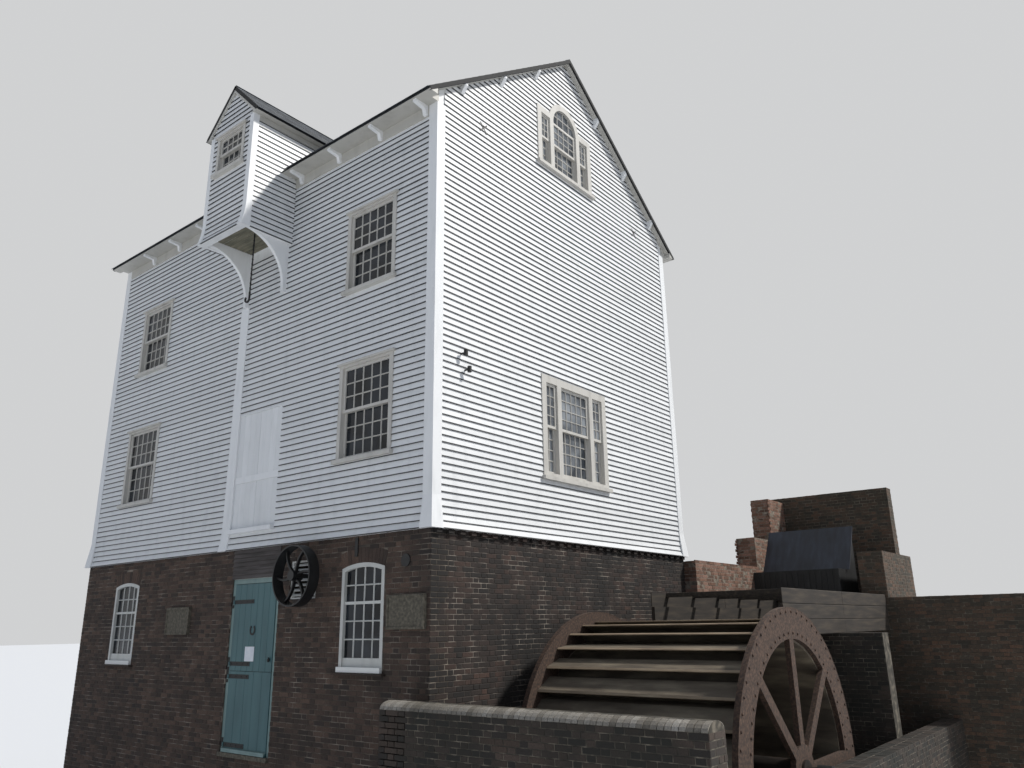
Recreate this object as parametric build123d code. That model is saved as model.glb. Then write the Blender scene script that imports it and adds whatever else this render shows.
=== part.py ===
"""Weatherboarded watermill on a brick ground storey, with its wheel, wheel pit and sluice.

Millimetres, +Z up. X runs to the right along the front, Y runs from the front to the back.
The origin is the middle of the front wall's underside, level with the floor of the wheel pit.
"""
import os
from math import cos, pi, radians, sin, tan

from build123d import *

# Levels above the floor of the wheel pit
STREET = 2150
BOARDING_FOOT_OVER_STREET = 3090
FIRST_FLOOR = 5540
SECOND_FLOOR = 8350
LOFT_FLOOR = 10900
EAVES_TIP_OVER_STREET = 9790

# Mill walls, measured on their outer faces
WIDTH = 9830
DEPTH = 7250
BRICK_WALL = 350
BOARDED_WALL = 150
FLOOR_SLAB = 120
FLARE = 55
FLARE_HEIGHT = 450
CORNER_BOARD_WIDTH = BOARDED_WALL
CORNER_BOARD = 30

# Main roof
ROOF_PITCH = 36.5
EAVES_OVERHANG = 335
VERGE_OVERHANG = 155
ROOF_COVER = 40
SOFFIT_DROP = 40
FRIEZE_BOARD = 30
FRIEZE_HEIGHT = 180
VERGE_SOFFIT = 30
VERGE_RETURN = 182
RIDGE_CAP_LEG = 170
RIDGE_CAP_THICKNESS = 25

# Small scrolled brackets under the eaves and the verges
BRACKET_PITCH = 1050
BRACKET_FIRST = 1550
BRACKET_REACH = 270
BRACKET_DROP = 170
BRACKET_WIDTH = 70
BRACKET_TOE = 40
BRACKET_HOLLOW = 25
VERGE_BRACKET_REACH = 130
VERGE_BRACKET_FIRST = 545
VERGE_BRACKET_PITCH = 1030
VERGE_BRACKETS = 3

# Hoist housing that stands out over the street
HOIST_LEFT = 0
HOIST_WIDTH = 1320
HOIST_REACH = 980
HOIST_WALL = 60
HOIST_FOOT_BELOW_LOFT = 300
HOIST_FLOOR = 150
HOIST_FLARE = 80
HOIST_EAVES_TIP_OVER_STREET = 10720
HOIST_EAVES_OVERHANG = 150
HOIST_FRONT_OVERHANG = 50
HOIST_ROOF_PITCH = 45
HOIST_ROOF_COVER = 50
HOIST_FRIEZE = 25
HOIST_FRIEZE_HEIGHT = 100
HOIST_BARGE_HEIGHT = 90
HOIST_CORNER_WIDTH = 90
HOIST_CORNER = 25
HOIST_BRACKET_FOOT_BELOW_LOFT = 1220
HOIST_BRACKET_SPRING_BELOW_LOFT = 1100
HOIST_BRACKET_TIP_BELOW_LOFT = 260
HOIST_BRACKET_THICKNESS = 70
HOIST_BRACKET_TOE = 100
TRIM_BOARD_LEFT = -70
TRIM_BOARD_WIDTH = 240
TRIM_BOARD = 35

# Hoist chain and hook
CHAIN_X = 920
CHAIN_Y = -520
CHAIN_RADIUS = 12
CHAIN_FOOT_BELOW_LOFT = 1280
HOOK_RADIUS = 60
HOOK_BAR = 26
HOOK_SHANK = 120
HOOK_SWEEP = 220

# Sash windows of the boarded storeys, on the front and the back
SASH_WINDOW_LEFT = -3270
SASH_WINDOW_RIGHT = 3490
FIRST_WINDOW_WIDTH = 1220
FIRST_WINDOW_FOOT_OVER_STREET = 4210
FIRST_WINDOW_HEIGHT = 1600
SECOND_WINDOW_WIDTH = 1160
SECOND_WINDOW_FOOT_OVER_STREET = 6990
SECOND_WINDOW_HEIGHT = 1500
UPPER_FRAME = 75
FRAME_PROUD = 35
FRAME_DEPTH = 120
SASH_STILE = 45
SASH_DEPTH = 45
GLASS = 6
SILL_HEIGHT = 60
SILL_REACH = 90
DRIP_HEIGHT = 35
DRIP_REACH = 70

# Three-light windows of the gables
GABLE_WINDOW_Y = 3520
TRIPLE_WIDTH = 1960
TRIPLE_FOOT_OVER_STREET = 4070
TRIPLE_HEIGHT = 1790
VENETIAN_WIDTH = 1780
VENETIAN_FOOT_OVER_STREET = 9950
VENETIAN_SIDE_HEIGHT = 1270
SIDE_LIGHT_SHARE = 0.21
GABLE_FRAME = 125
MULLION = 115

# Ground storey windows with segmental heads
GROUND_WINDOW_LEFT = -3215
GROUND_WINDOW_RIGHT = 3580
GROUND_WINDOW_WIDTH = 900
GROUND_WINDOW_FOOT_OVER_STREET = 1230
GROUND_WINDOW_HEIGHT = 1480
GROUND_WINDOW_RISE = 70
GROUND_WINDOW_RECESS = 90
GROUND_FRAME = 70
GROUND_SILL_HEIGHT = 70
GROUND_SILL_REACH = 50

# Window of the hoist housing
HOIST_WINDOW_WIDTH = 880
HOIST_WINDOW_FOOT_OVER_STREET = 9750
HOIST_WINDOW_HEIGHT = 850

# Loading doors above the street door
LOADING_LEFT = 180
LOADING_WIDTH = 1230
LOADING_FOOT_OVER_STREET = 3430
LOADING_HEIGHT = 2000
LOADING_LEAF = 45
LOADING_GAP = 6
LOADING_LEDGE = 70
LOADING_LEDGE_REACH = 110
BLANK_BOARD_FOOT_OVER_STREET = 4220
BLANK_BOARD_HEIGHT = 110
BLANK_BOARD = 18

# Stable door, in two leaves
DOOR_LEFT = 350
DOOR_FRAME_WIDTH = 1280
DOOR_FRAME_MEMBER = 75
DOOR_FRAME_SETBACK = 20
DOOR_FRAME_DEPTH = 110
DOOR_HEAD_OVER_STREET = 2610
DOOR_OPENING_TOP_OVER_STREET = 3010
DOOR_GAP = 6
DOOR_LEAF = 48
DOOR_LEAF_SETBACK = 12
DOOR_SPLIT_OVER_STREET = 1190
DOOR_TOP_GAP = 8
UPPER_HINGES_OVER_STREET = (1300, 2250)
LOWER_HINGES_OVER_STREET = (110, 1110)
HINGE_STRAP_LENGTH = 540
HINGE_STRAP_HEIGHT = 56
HINGE_PLATE_HEIGHT = 190
HINGE_PLATE_WIDTH = 50
HINGE_STRAP = 7
HINGE_KNUCKLE_RADIUS = 14
HINGE_PIN_RADIUS = 8
HINGE_PIN_CLEARANCE = 0.6
PINTLE_LENGTH = 62
WEATHER_SILL_HEIGHT = 60
WEATHER_SILL_REACH = 40
THRESHOLD = 60
HANDLE_LEVEL_OVER_STREET = 1390
HORSESHOE_LEVEL_OVER_STREET = 1810
HORSESHOE_RADIUS = 58
HORSESHOE_BAR = 24
HORSESHOE_MOUTH = 78
HORSESHOE_THICKNESS = 9

# Louvres
VENT_X = 2210
VENT_WIDTH = 640
VENT_FOOT_OVER_STREET = 2230
VENT_HEIGHT = 610
LOUVRE_FRAME = 45
LOUVRE_SLAT = 14
LOUVRE_PITCH = 70
LOUVRE_TILT = 40

# Belt pulley on the front wall
PULLEY_X = 2360
PULLEY_Z_OVER_STREET = 2575
PULLEY_RADIUS = 448
PULLEY_WIDTH = 180
PULLEY_RIM = 22
PULLEY_GAP = 165
PULLEY_HUB_RADIUS = 75
PULLEY_SHAFT_RADIUS = 32
PULLEY_SPOKES = 6
PULLEY_SPOKE_WIDTH = 30
PULLEY_SPOKE_DEPTH = 50
PULLEY_SPOKE_BOW = 55
PULLEY_BRACKET = 60

# Plaques and iron tie plates
PLAQUE = 45
PLAQUE_SINK = 15
LEFT_PLAQUE_X = -1220
LEFT_PLAQUE_Z_OVER_STREET = 1980
LEFT_PLAQUE_WIDTH = 740
LEFT_PLAQUE_HEIGHT = 460
RIGHT_PLAQUE_X = 4490
RIGHT_PLAQUE_Z_OVER_STREET = 2015
RIGHT_PLAQUE_WIDTH = 720
RIGHT_PLAQUE_HEIGHT = 450
TIE_PLATE_X = 4450
TIE_PLATE_Z_OVER_STREET = 2690
TIE_PLATE_RADIUS = 85
TIE_PLATE = 20
TIE_STRAP_X = 3430
TIE_STRAP_FOOT_OVER_STREET = 2800
TIE_STRAP_HEIGHT = 270
TIE_STRAP_WIDTH = 60
GABLE_TIE_Z_OVER_STREET = 9850
GABLE_TIE_Y = (1090, 6040)
GABLE_TIE_LENGTH = 240
GABLE_TIE_BAR = 24

# Arms with insulators on the wheel side's gable
CABLE_BRACKET_Y = (560, 640)
CABLE_BRACKET_Z_OVER_STREET = 5690
CABLE_BRACKET_DROP = 240
CABLE_ARM = 110
CABLE_BAR = 20
INSULATOR_RADIUS = 32
INSULATOR_HEIGHT = 90

# Water wheel
WHEEL_RADIUS = 2000
WHEEL_AXIS_Y = 3100
WHEEL_AXIS_Z = STREET
WHEEL_WALL_GAP = 505
WHEEL_WIDTH = 3050
WHEEL_BUCKETS = 32
SHROUD_DEPTH = 400
SHROUD = 70
RIM_SIDES = 64
BUCKET_REACH = 250
BUCKET_BOARD = 28
BUCKET_LEAD = 1.15
BUCKET_CURL = 1.7
SOLE_GAP = 4
WHEEL_ARMS = 8
ARM_WIDTH = 140
HUB_RADIUS = 330
HUB_THICKNESS = 130
SHAFT_RADIUS = 150
JOURNAL_RADIUS = 75
JOURNAL_CLEARANCE = 1
BEARING_WIDTH = 180
BEARING_HEIGHT = 240
BEARING_DEPTH = 420
AXLE_RECESS = 220
AXLE_RECESS_RADIUS = 270
SEAT = 0.3

# Wheel pit
PIT_WALL = 350
PIT_FRONT = -510
PARAPET_BACK = -160
PARAPET_TOP_OVER_STREET = 860
PARAPET_LEFT_GAP = 105
COPING_RISE = 90
WHEEL_SIDE_GAP = 130
TAIL_ARCH_WIDTH = 2400
TAIL_ARCH_SPRING = 500
TAIL_ARCH_RISE = 500

# Launder that brings the water to the wheel
LAUNDER_FLOOR_TOP_OVER_STREET = 1660
LAUNDER_TOP_OVER_STREET = 2080
LAUNDER_BOARD = 50
LAUNDER_LEFT = 5700
LAUNDER_WIDTH = 2200
LAUNDER_PAST_AXLE = 1330

# Headworks behind the mill
WING_FACE = 5170
WING_THICKNESS = 450
WING_TOP_OVER_STREET = 3000
LOW_PIER_BEHIND_MILL = 3150
LOW_PIER_TOP_OVER_STREET = 3690
HIGH_PIER_BEHIND_MILL = 4250
HIGH_PIER_TOP_OVER_STREET = 4700
HEAD_WALL_BEHIND_MILL = 5240
HEAD_WALL = 350
HEAD_WALL_TOP_OVER_STREET = 4820
HEAD_WALL_RIGHT = 7670
SLUICE_BEHIND_MILL = 2890
SLUICE_WALL = 350
RIGHT_PIER_LEFT = 7460
RIGHT_PIER_WIDTH = 500
RIGHT_PIER_TOP_OVER_STREET = 3190
BANK_WALL_LENGTH = 3000
BANK_WALL_TOP_OVER_STREET = 2250
STONE_LEDGE_FOOT_OVER_STREET = 2210
STONE_LEDGE_HEIGHT = 160
STONE_LEDGE_REACH = 160
STONE_LEDGE_BLOCKS = 3
STONE_LEDGE_SHARE = 0.79
STONE_JOINT = 5
SLUICE_BOX_BESIDE_PIER = 410
SLUICE_BOX_TOP_OVER_STREET = 2880
SLUICE_BOARD = 40
SLUICE_LEDGE = 600
COVER_RUN = 600
COVER_TOP_OVER_STREET = 3820
COVER_BOARD = 45
SILL_BEAM_HEIGHT = 230
SILL_BEAM_DEPTH = 110
SILL_BEAM_LEFT = 5650
SLUICE_POST = 60

# Values that follow from the sizes above
BOARDING_FOOT = STREET + BOARDING_FOOT_OVER_STREET
EAVES_TIP = STREET + EAVES_TIP_OVER_STREET
HOIST_EAVES_TIP = STREET + HOIST_EAVES_TIP_OVER_STREET
FIRST_WINDOW_FOOT = STREET + FIRST_WINDOW_FOOT_OVER_STREET
SECOND_WINDOW_FOOT = STREET + SECOND_WINDOW_FOOT_OVER_STREET
TRIPLE_FOOT = STREET + TRIPLE_FOOT_OVER_STREET
VENETIAN_FOOT = STREET + VENETIAN_FOOT_OVER_STREET
GROUND_WINDOW_FOOT = STREET + GROUND_WINDOW_FOOT_OVER_STREET
HOIST_WINDOW_FOOT = STREET + HOIST_WINDOW_FOOT_OVER_STREET
LOADING_FOOT = STREET + LOADING_FOOT_OVER_STREET
BLANK_BOARD_FOOT = STREET + BLANK_BOARD_FOOT_OVER_STREET
DOOR_HEAD = STREET + DOOR_HEAD_OVER_STREET
DOOR_OPENING_TOP = STREET + DOOR_OPENING_TOP_OVER_STREET
DOOR_SPLIT = STREET + DOOR_SPLIT_OVER_STREET
HANDLE_LEVEL = STREET + HANDLE_LEVEL_OVER_STREET
HORSESHOE_LEVEL = STREET + HORSESHOE_LEVEL_OVER_STREET
VENT_FOOT = STREET + VENT_FOOT_OVER_STREET
PULLEY_Z = STREET + PULLEY_Z_OVER_STREET
LEFT_PLAQUE_Z = STREET + LEFT_PLAQUE_Z_OVER_STREET
RIGHT_PLAQUE_Z = STREET + RIGHT_PLAQUE_Z_OVER_STREET
TIE_PLATE_Z = STREET + TIE_PLATE_Z_OVER_STREET
TIE_STRAP_FOOT = STREET + TIE_STRAP_FOOT_OVER_STREET
GABLE_TIE_Z = STREET + GABLE_TIE_Z_OVER_STREET
CABLE_BRACKET_Z = STREET + CABLE_BRACKET_Z_OVER_STREET
PARAPET_TOP = STREET + PARAPET_TOP_OVER_STREET
LAUNDER_FLOOR_TOP = STREET + LAUNDER_FLOOR_TOP_OVER_STREET
LAUNDER_TOP = STREET + LAUNDER_TOP_OVER_STREET
WING_TOP = STREET + WING_TOP_OVER_STREET
LOW_PIER_TOP = STREET + LOW_PIER_TOP_OVER_STREET
HIGH_PIER_TOP = STREET + HIGH_PIER_TOP_OVER_STREET
HEAD_WALL_TOP = STREET + HEAD_WALL_TOP_OVER_STREET
RIGHT_PIER_TOP = STREET + RIGHT_PIER_TOP_OVER_STREET
SLUICE_BOX_RIGHT = RIGHT_PIER_LEFT - SLUICE_BOX_BESIDE_PIER
BANK_WALL_TOP = STREET + BANK_WALL_TOP_OVER_STREET
STONE_LEDGE_FOOT = STREET + STONE_LEDGE_FOOT_OVER_STREET
SLUICE_BOX_TOP = STREET + SLUICE_BOX_TOP_OVER_STREET
COVER_TOP = STREET + COVER_TOP_OVER_STREET
HOIST_FOOT = LOFT_FLOOR - HOIST_FOOT_BELOW_LOFT
HOIST_BRACKET_FOOT = LOFT_FLOOR - HOIST_BRACKET_FOOT_BELOW_LOFT
HOIST_BRACKET_SPRING = LOFT_FLOOR - HOIST_BRACKET_SPRING_BELOW_LOFT
HOIST_BRACKET_TIP = LOFT_FLOOR - HOIST_BRACKET_TIP_BELOW_LOFT
CHAIN_FOOT = LOFT_FLOOR - CHAIN_FOOT_BELOW_LOFT
SLUICE_WALL_TOP = LAUNDER_TOP
PIT_BACK_Y = DEPTH - PIT_WALL
LAUNDER_END_Y = WHEEL_AXIS_Y + LAUNDER_PAST_AXLE
LOW_PIER_Y = DEPTH + LOW_PIER_BEHIND_MILL
HIGH_PIER_Y = DEPTH + HIGH_PIER_BEHIND_MILL
HEAD_WALL_Y = DEPTH + HEAD_WALL_BEHIND_MILL
SLUICE_Y = DEPTH + SLUICE_BEHIND_MILL
COVER_LOW_Y = SLUICE_Y + SLUICE_LEDGE
COVER_HIGH_Y = COVER_LOW_Y + COVER_RUN
STONE_LEDGE_BLOCK = SLUICE_BEHIND_MILL * STONE_LEDGE_SHARE / STONE_LEDGE_BLOCKS
HALF_WIDTH = WIDTH / 2
SLOPE = tan(radians(ROOF_PITCH))
RIDGE_Y = DEPTH / 2
SOFFIT = EAVES_TIP - SOFFIT_DROP
RIDGE_Z = EAVES_TIP + (RIDGE_Y + EAVES_OVERHANG) * SLOPE
WHEEL_INNER_X = HALF_WIDTH + WHEEL_WALL_GAP
WHEEL_OUTER_X = WHEEL_INNER_X + WHEEL_WIDTH
PIT_OUTER_X = WHEEL_OUTER_X + WHEEL_SIDE_GAP
HOIST_RIGHT = HOIST_LEFT + HOIST_WIDTH
HOIST_CENTRE = HOIST_LEFT + HOIST_WIDTH / 2
HOIST_SLOPE = tan(radians(HOIST_ROOF_PITCH))
HOIST_RIDGE = HOIST_EAVES_TIP + (HOIST_WIDTH / 2 + HOIST_EAVES_OVERHANG) * HOIST_SLOPE
HOIST_SOFFIT = HOIST_EAVES_TIP - HOIST_ROOF_COVER
DOOR_RIGHT = DOOR_LEFT + DOOR_FRAME_WIDTH
LEAF_LEFT = DOOR_LEFT + DOOR_FRAME_MEMBER + DOOR_GAP
LEAF_RIGHT = DOOR_RIGHT - DOOR_FRAME_MEMBER - DOOR_GAP
HINGE_X = LEAF_LEFT - DOOR_GAP / 2
HINGE_Y = DOOR_LEAF_SETBACK - HINGE_STRAP - HINGE_PIN_RADIUS / 2
HINGE_LEVELS_UPPER = tuple(STREET + rise for rise in UPPER_HINGES_OVER_STREET)
HINGE_LEVELS_LOWER = tuple(STREET + rise for rise in LOWER_HINGES_OVER_STREET)


def block(x_low, x_high, y_low, y_high, z_low, z_high):
    """A box given by its six faces."""
    size = Box(x_high - x_low, y_high - y_low, z_high - z_low, align=(Align.MIN,) * 3)
    return Pos(x_low, y_low, z_low) * size


def outline_along_x(points, x_low, x_high):
    """A (y, z) outline carried along X."""
    face = make_face(Polyline(*points, close=True))
    return extrude(Plane.YZ.offset(x_low) * face, x_high - x_low)


def outline_along_y(points, y_low, y_high):
    """An (x, z) outline carried along Y."""
    face = make_face(Polyline(*points, close=True))
    return extrude(Plane.XZ.offset(-y_high) * face, y_high - y_low)


def roof_top(y):
    """Height of the main roof's upper surface at a depth from the front wall."""
    return RIDGE_Z - abs(y - RIDGE_Y) * SLOPE


def roof_underside(y):
    """Height of the main roof's lower surface at a depth from the front wall."""
    return roof_top(y) - ROOF_COVER


def hoist_roof_top(x):
    """Height of the hoist housing's roof at a place across its width."""
    return HOIST_RIDGE - abs(x - HOIST_CENTRE) * HOIST_SLOPE


def turned_to_side(solid, side):
    """Carries a piece drawn on the front wall to another side of the mill."""
    places = {
        "front": Location((0, 0, 0)),
        "wheel": Location((HALF_WIDTH, RIDGE_Y, 0), (0, 0, 90)),
        "back": Location((0, DEPTH, 0), (0, 0, 180)),
        "left": Location((-HALF_WIDTH, RIDGE_Y, 0), (0, 0, -90)),
    }
    return places[side] * solid


def skirt(x_low, x_high, foot=BOARDING_FOOT, kick=FLARE):
    """The wedge by which the boarding kicks out over its lowest boards."""
    curve = TangentArc((0, foot + FLARE_HEIGHT), (-kick, foot), tangent=(0, -1))
    edges = Polyline((-kick, foot), (0, foot), (0, foot + FLARE_HEIGHT))
    face = make_face(Curve() + [curve, edges])
    return extrude(Plane.YZ.offset(x_low) * face, x_high - x_low)


def front_window_places():
    """Centre, foot, width and height of the sash windows of one long side."""
    places = []
    for centre in (SASH_WINDOW_LEFT, SASH_WINDOW_RIGHT):
        places.append((centre, FIRST_WINDOW_FOOT, FIRST_WINDOW_WIDTH, FIRST_WINDOW_HEIGHT))
        places.append((centre, SECOND_WINDOW_FOOT, SECOND_WINDOW_WIDTH, SECOND_WINDOW_HEIGHT))
    return places


def window_hole(centre, foot, width, height):
    """What a window takes out of a boarded wall."""
    return block(centre - width / 2, centre + width / 2, -FLARE, BOARDED_WALL, foot, foot + height)


def ground_window_outline(centre, margin):
    """Opening of a ground storey window with its segmental head, shrunk by a margin."""
    half = GROUND_WINDOW_WIDTH / 2 - margin
    foot = GROUND_WINDOW_FOOT + margin
    spring = GROUND_WINDOW_FOOT + GROUND_WINDOW_HEIGHT - GROUND_WINDOW_RISE - margin
    crown = spring + GROUND_WINDOW_RISE
    sides = Polyline((centre - half, spring), (centre - half, foot), (centre + half, foot), (centre + half, spring))
    head = ThreePointArc((centre - half, spring), (centre, crown), (centre + half, spring))
    return make_face(Curve() + [sides, head])


def ground_window_solid(centre, margin, y_low, y_high):
    """That outline carried through a depth of wall."""
    return extrude(Plane.XZ.offset(-y_high) * ground_window_outline(centre, margin), y_high - y_low)


def build_front_wall_left():
    """Brickwork of the front, left of the street door."""
    wall = block(-HALF_WIDTH, DOOR_LEFT, 0, BRICK_WALL, 0, BOARDING_FOOT)
    return wall - ground_window_solid(GROUND_WINDOW_LEFT, 0, 0, BRICK_WALL)


def build_front_wall_right():
    """Brickwork of the front, right of the street door, with the vent's hole."""
    wall = block(DOOR_RIGHT, HALF_WIDTH, 0, BRICK_WALL, 0, BOARDING_FOOT)
    wall -= ground_window_solid(GROUND_WINDOW_RIGHT, 0, 0, BRICK_WALL)
    half = VENT_WIDTH / 2
    return wall - block(VENT_X - half, VENT_X + half, 0, BRICK_WALL, VENT_FOOT, VENT_FOOT + VENT_HEIGHT)


def build_door_footing():
    """Brickwork under the street door, up to its stone threshold."""
    return block(DOOR_LEFT, DOOR_RIGHT, 0, BRICK_WALL, 0, STREET - THRESHOLD)


def build_back_brick_wall():
    """Brickwork of the back."""
    return block(-HALF_WIDTH, HALF_WIDTH, DEPTH - BRICK_WALL, DEPTH, 0, BOARDING_FOOT)


def build_left_brick_wall():
    """Brickwork of the side away from the wheel."""
    return block(-HALF_WIDTH, BRICK_WALL - HALF_WIDTH, BRICK_WALL, DEPTH - BRICK_WALL, 0, BOARDING_FOOT)


def build_wheel_side_brick_wall():
    """Brickwork beside the wheel, with the pocket that takes the axle's bearing."""
    wall = block(HALF_WIDTH - BRICK_WALL, HALF_WIDTH, BRICK_WALL, DEPTH - BRICK_WALL, 0, BOARDING_FOOT)
    half = BEARING_DEPTH / 2 + SEAT
    pocket = block(HALF_WIDTH - AXLE_RECESS, HALF_WIDTH, WHEEL_AXIS_Y - half, WHEEL_AXIS_Y + half,
                   WHEEL_AXIS_Z - BEARING_HEIGHT, WHEEL_AXIS_Z + AXLE_RECESS_RADIUS)
    return wall - pocket


def build_floors():
    """The four floors between the walls, from the street up to the loft."""
    floors = []
    levels = ((STREET, BRICK_WALL), (FIRST_FLOOR, BOARDED_WALL), (SECOND_FLOOR, BOARDED_WALL),
              (LOFT_FLOOR, BOARDED_WALL))
    for level, wall in levels:
        floors.append(block(wall - HALF_WIDTH, HALF_WIDTH - wall, wall, DEPTH - wall, level - FLOOR_SLAB, level))
    return floors


def long_wall_outline():
    """Section of a boarded long wall, up to the underside of the roof."""
    return ((0, BOARDING_FOOT), (BOARDED_WALL, BOARDING_FOOT),
            (BOARDED_WALL, roof_underside(BOARDED_WALL)), (0, roof_underside(0)))


def long_wall(x_low, x_high, places):
    """A stretch of boarded long wall with its windows cut through."""
    wall = outline_along_x(long_wall_outline(), x_low, x_high)
    for place in places:
        wall -= window_hole(*place)
    return wall + skirt(x_low, x_high)


def inner_hoist_edges():
    """Left and right faces of the way from the loft into the hoist housing."""
    return HOIST_LEFT + HOIST_WALL, HOIST_RIGHT - HOIST_WALL


def build_front_boarding_left():
    """Boarded front wall, left of the hoist housing's inside."""
    places = [place for place in front_window_places() if place[0] < 0]
    return long_wall(BOARDED_WALL - HALF_WIDTH, inner_hoist_edges()[0], places)


def build_front_boarding_right():
    """Boarded front wall, right of the hoist housing's inside."""
    places = [place for place in front_window_places() if place[0] > 0]
    wall = long_wall(inner_hoist_edges()[1], HALF_WIDTH - BOARDED_WALL, places)
    return wall - loading_hole()


def loading_hole():
    """Opening of the loading doors."""
    return block(LOADING_LEFT, LOADING_LEFT + LOADING_WIDTH, -FLARE, BOARDED_WALL,
                 LOADING_FOOT - LOADING_LEDGE, LOADING_FOOT + LOADING_HEIGHT)


def build_front_boarding_middle():
    """Boarded front wall under the hoist housing, with the loading doors' opening."""
    low, high = inner_hoist_edges()
    wall = block(low, high, 0, BOARDED_WALL, BOARDING_FOOT, LOFT_FLOOR) + skirt(low, high)
    return wall - loading_hole()


def build_back_boarding():
    """Boarded back wall, with the same windows as the front."""
    wall = long_wall(BOARDED_WALL - HALF_WIDTH, HALF_WIDTH - BOARDED_WALL, front_window_places())
    return turned_to_side(wall, "back")


def gable_window_centre(side):
    """Place of the gable windows along the wall, as seen from outside."""
    offset = GABLE_WINDOW_Y - RIDGE_Y
    return offset if side == "wheel" else -offset


def venetian_centre_width():
    """Width over the frame of the arched middle light of a loft window."""
    inner = VENETIAN_WIDTH - 2 * GABLE_FRAME - 2 * MULLION
    return inner - 2 * inner * SIDE_LIGHT_SHARE + 2 * GABLE_FRAME


def venetian_spring():
    """Level from which the arched middle light of a loft window springs."""
    return VENETIAN_FOOT + VENETIAN_SIDE_HEIGHT - GABLE_FRAME


def venetian_outline(centre):
    """Outline of a loft window: two low side lights and a round-headed middle light."""
    lights = Pos(centre, VENETIAN_FOOT + VENETIAN_SIDE_HEIGHT / 2) * Rectangle(VENETIAN_WIDTH, VENETIAN_SIDE_HEIGHT)
    return lights + Pos(centre, venetian_spring()) * Circle(venetian_centre_width() / 2)


def triple_outline(centre):
    """Outline of a first-floor gable window."""
    return Pos(centre, TRIPLE_FOOT + TRIPLE_HEIGHT / 2) * Rectangle(TRIPLE_WIDTH, TRIPLE_HEIGHT)


def face_through_wall(face, y_low, y_high):
    """An (x, z) face carried through a depth of wall."""
    return extrude(Plane.XZ.offset(-y_high) * face, y_high - y_low)


def build_gable(side):
    """Boarded gable wall, with its two windows cut through."""
    points = ((-RIDGE_Y, BOARDING_FOOT), (RIDGE_Y, BOARDING_FOOT), (RIDGE_Y, roof_underside(0)),
              (0, roof_underside(RIDGE_Y)), (-RIDGE_Y, roof_underside(0)))
    wall = outline_along_y(points, 0, BOARDED_WALL)
    centre = gable_window_centre(side)
    wall -= face_through_wall(venetian_outline(centre), 0, BOARDED_WALL)
    wall -= face_through_wall(triple_outline(centre), 0, BOARDED_WALL)
    wall += skirt(CORNER_BOARD_WIDTH - RIDGE_Y, RIDGE_Y - CORNER_BOARD_WIDTH)
    return turned_to_side(wall, side)


def corner_section(proud, height):
    """L-shaped section of a corner board, standing proud of two walls."""
    edge = HALF_WIDTH
    width = CORNER_BOARD_WIDTH
    points = ((edge - width, -proud), (edge + proud, -proud), (edge + proud, width),
              (edge, width), (edge, 0), (edge - width, 0))
    return Plane.XY.offset(height) * make_face(Polyline(*points, close=True))


def build_corner_boards():
    """Upright boards that cover the four corners and kick out with the boarding."""
    knee = BOARDING_FOOT + FLARE_HEIGHT
    low = loft([corner_section(CORNER_BOARD + FLARE, BOARDING_FOOT), corner_section(CORNER_BOARD, knee)])
    front_right = low + extrude(corner_section(CORNER_BOARD, knee), SOFFIT - knee)
    middle = Plane.XZ.offset(-RIDGE_Y)
    back_right = mirror(front_right, about=middle)
    return [front_right, back_right, mirror(front_right, about=Plane.YZ), mirror(back_right, about=Plane.YZ)]


def slope_outline():
    """Section of the front slope of the roof."""
    return ((-EAVES_OVERHANG, EAVES_TIP - ROOF_COVER), (-EAVES_OVERHANG, EAVES_TIP),
            (RIDGE_Y, RIDGE_Z), (RIDGE_Y, RIDGE_Z - ROOF_COVER))


def build_roof_front():
    """Front slope of the roof, cut away where the hoist housing rises through it."""
    reach = HALF_WIDTH + VERGE_OVERHANG
    slope = outline_along_x(slope_outline(), -reach, reach)
    return slope - block(HOIST_LEFT, HOIST_RIGHT, -EAVES_OVERHANG, hoist_meets_roof(HOIST_LEFT),
                         EAVES_TIP - ROOF_COVER, RIDGE_Z)


def build_roof_back():
    """Back slope of the roof, with the angled ridge tiles over both slopes."""
    reach = HALF_WIDTH + VERGE_OVERHANG
    slope = mirror(outline_along_x(slope_outline(), -reach, reach), about=Plane.XZ.offset(-RIDGE_Y))
    run = RIDGE_CAP_LEG * cos(radians(ROOF_PITCH))
    drop = run * SLOPE
    points = ((RIDGE_Y - run, RIDGE_Z - drop), (RIDGE_Y, RIDGE_Z), (RIDGE_Y + run, RIDGE_Z - drop),
              (RIDGE_Y + run, RIDGE_Z - drop + RIDGE_CAP_THICKNESS), (RIDGE_Y, RIDGE_Z + RIDGE_CAP_THICKNESS),
              (RIDGE_Y - run, RIDGE_Z - drop + RIDGE_CAP_THICKNESS))
    return slope + outline_along_x(points, -reach, reach)


def eaves_wedge(x_low, x_high, inner=0):
    """Boxed eaves between the soffit and the roof, as deep as an inner edge."""
    tip = -EAVES_OVERHANG + (SOFFIT - EAVES_TIP + ROOF_COVER) / SLOPE
    return outline_along_x(((tip, SOFFIT), (inner, SOFFIT), (inner, roof_underside(inner))), x_low, x_high)


def frieze_board(x_low, x_high):
    """Plain board at the head of a long wall, under the soffit."""
    return block(x_low, x_high, -FRIEZE_BOARD, 0, SOFFIT - FRIEZE_HEIGHT, SOFFIT)


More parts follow.
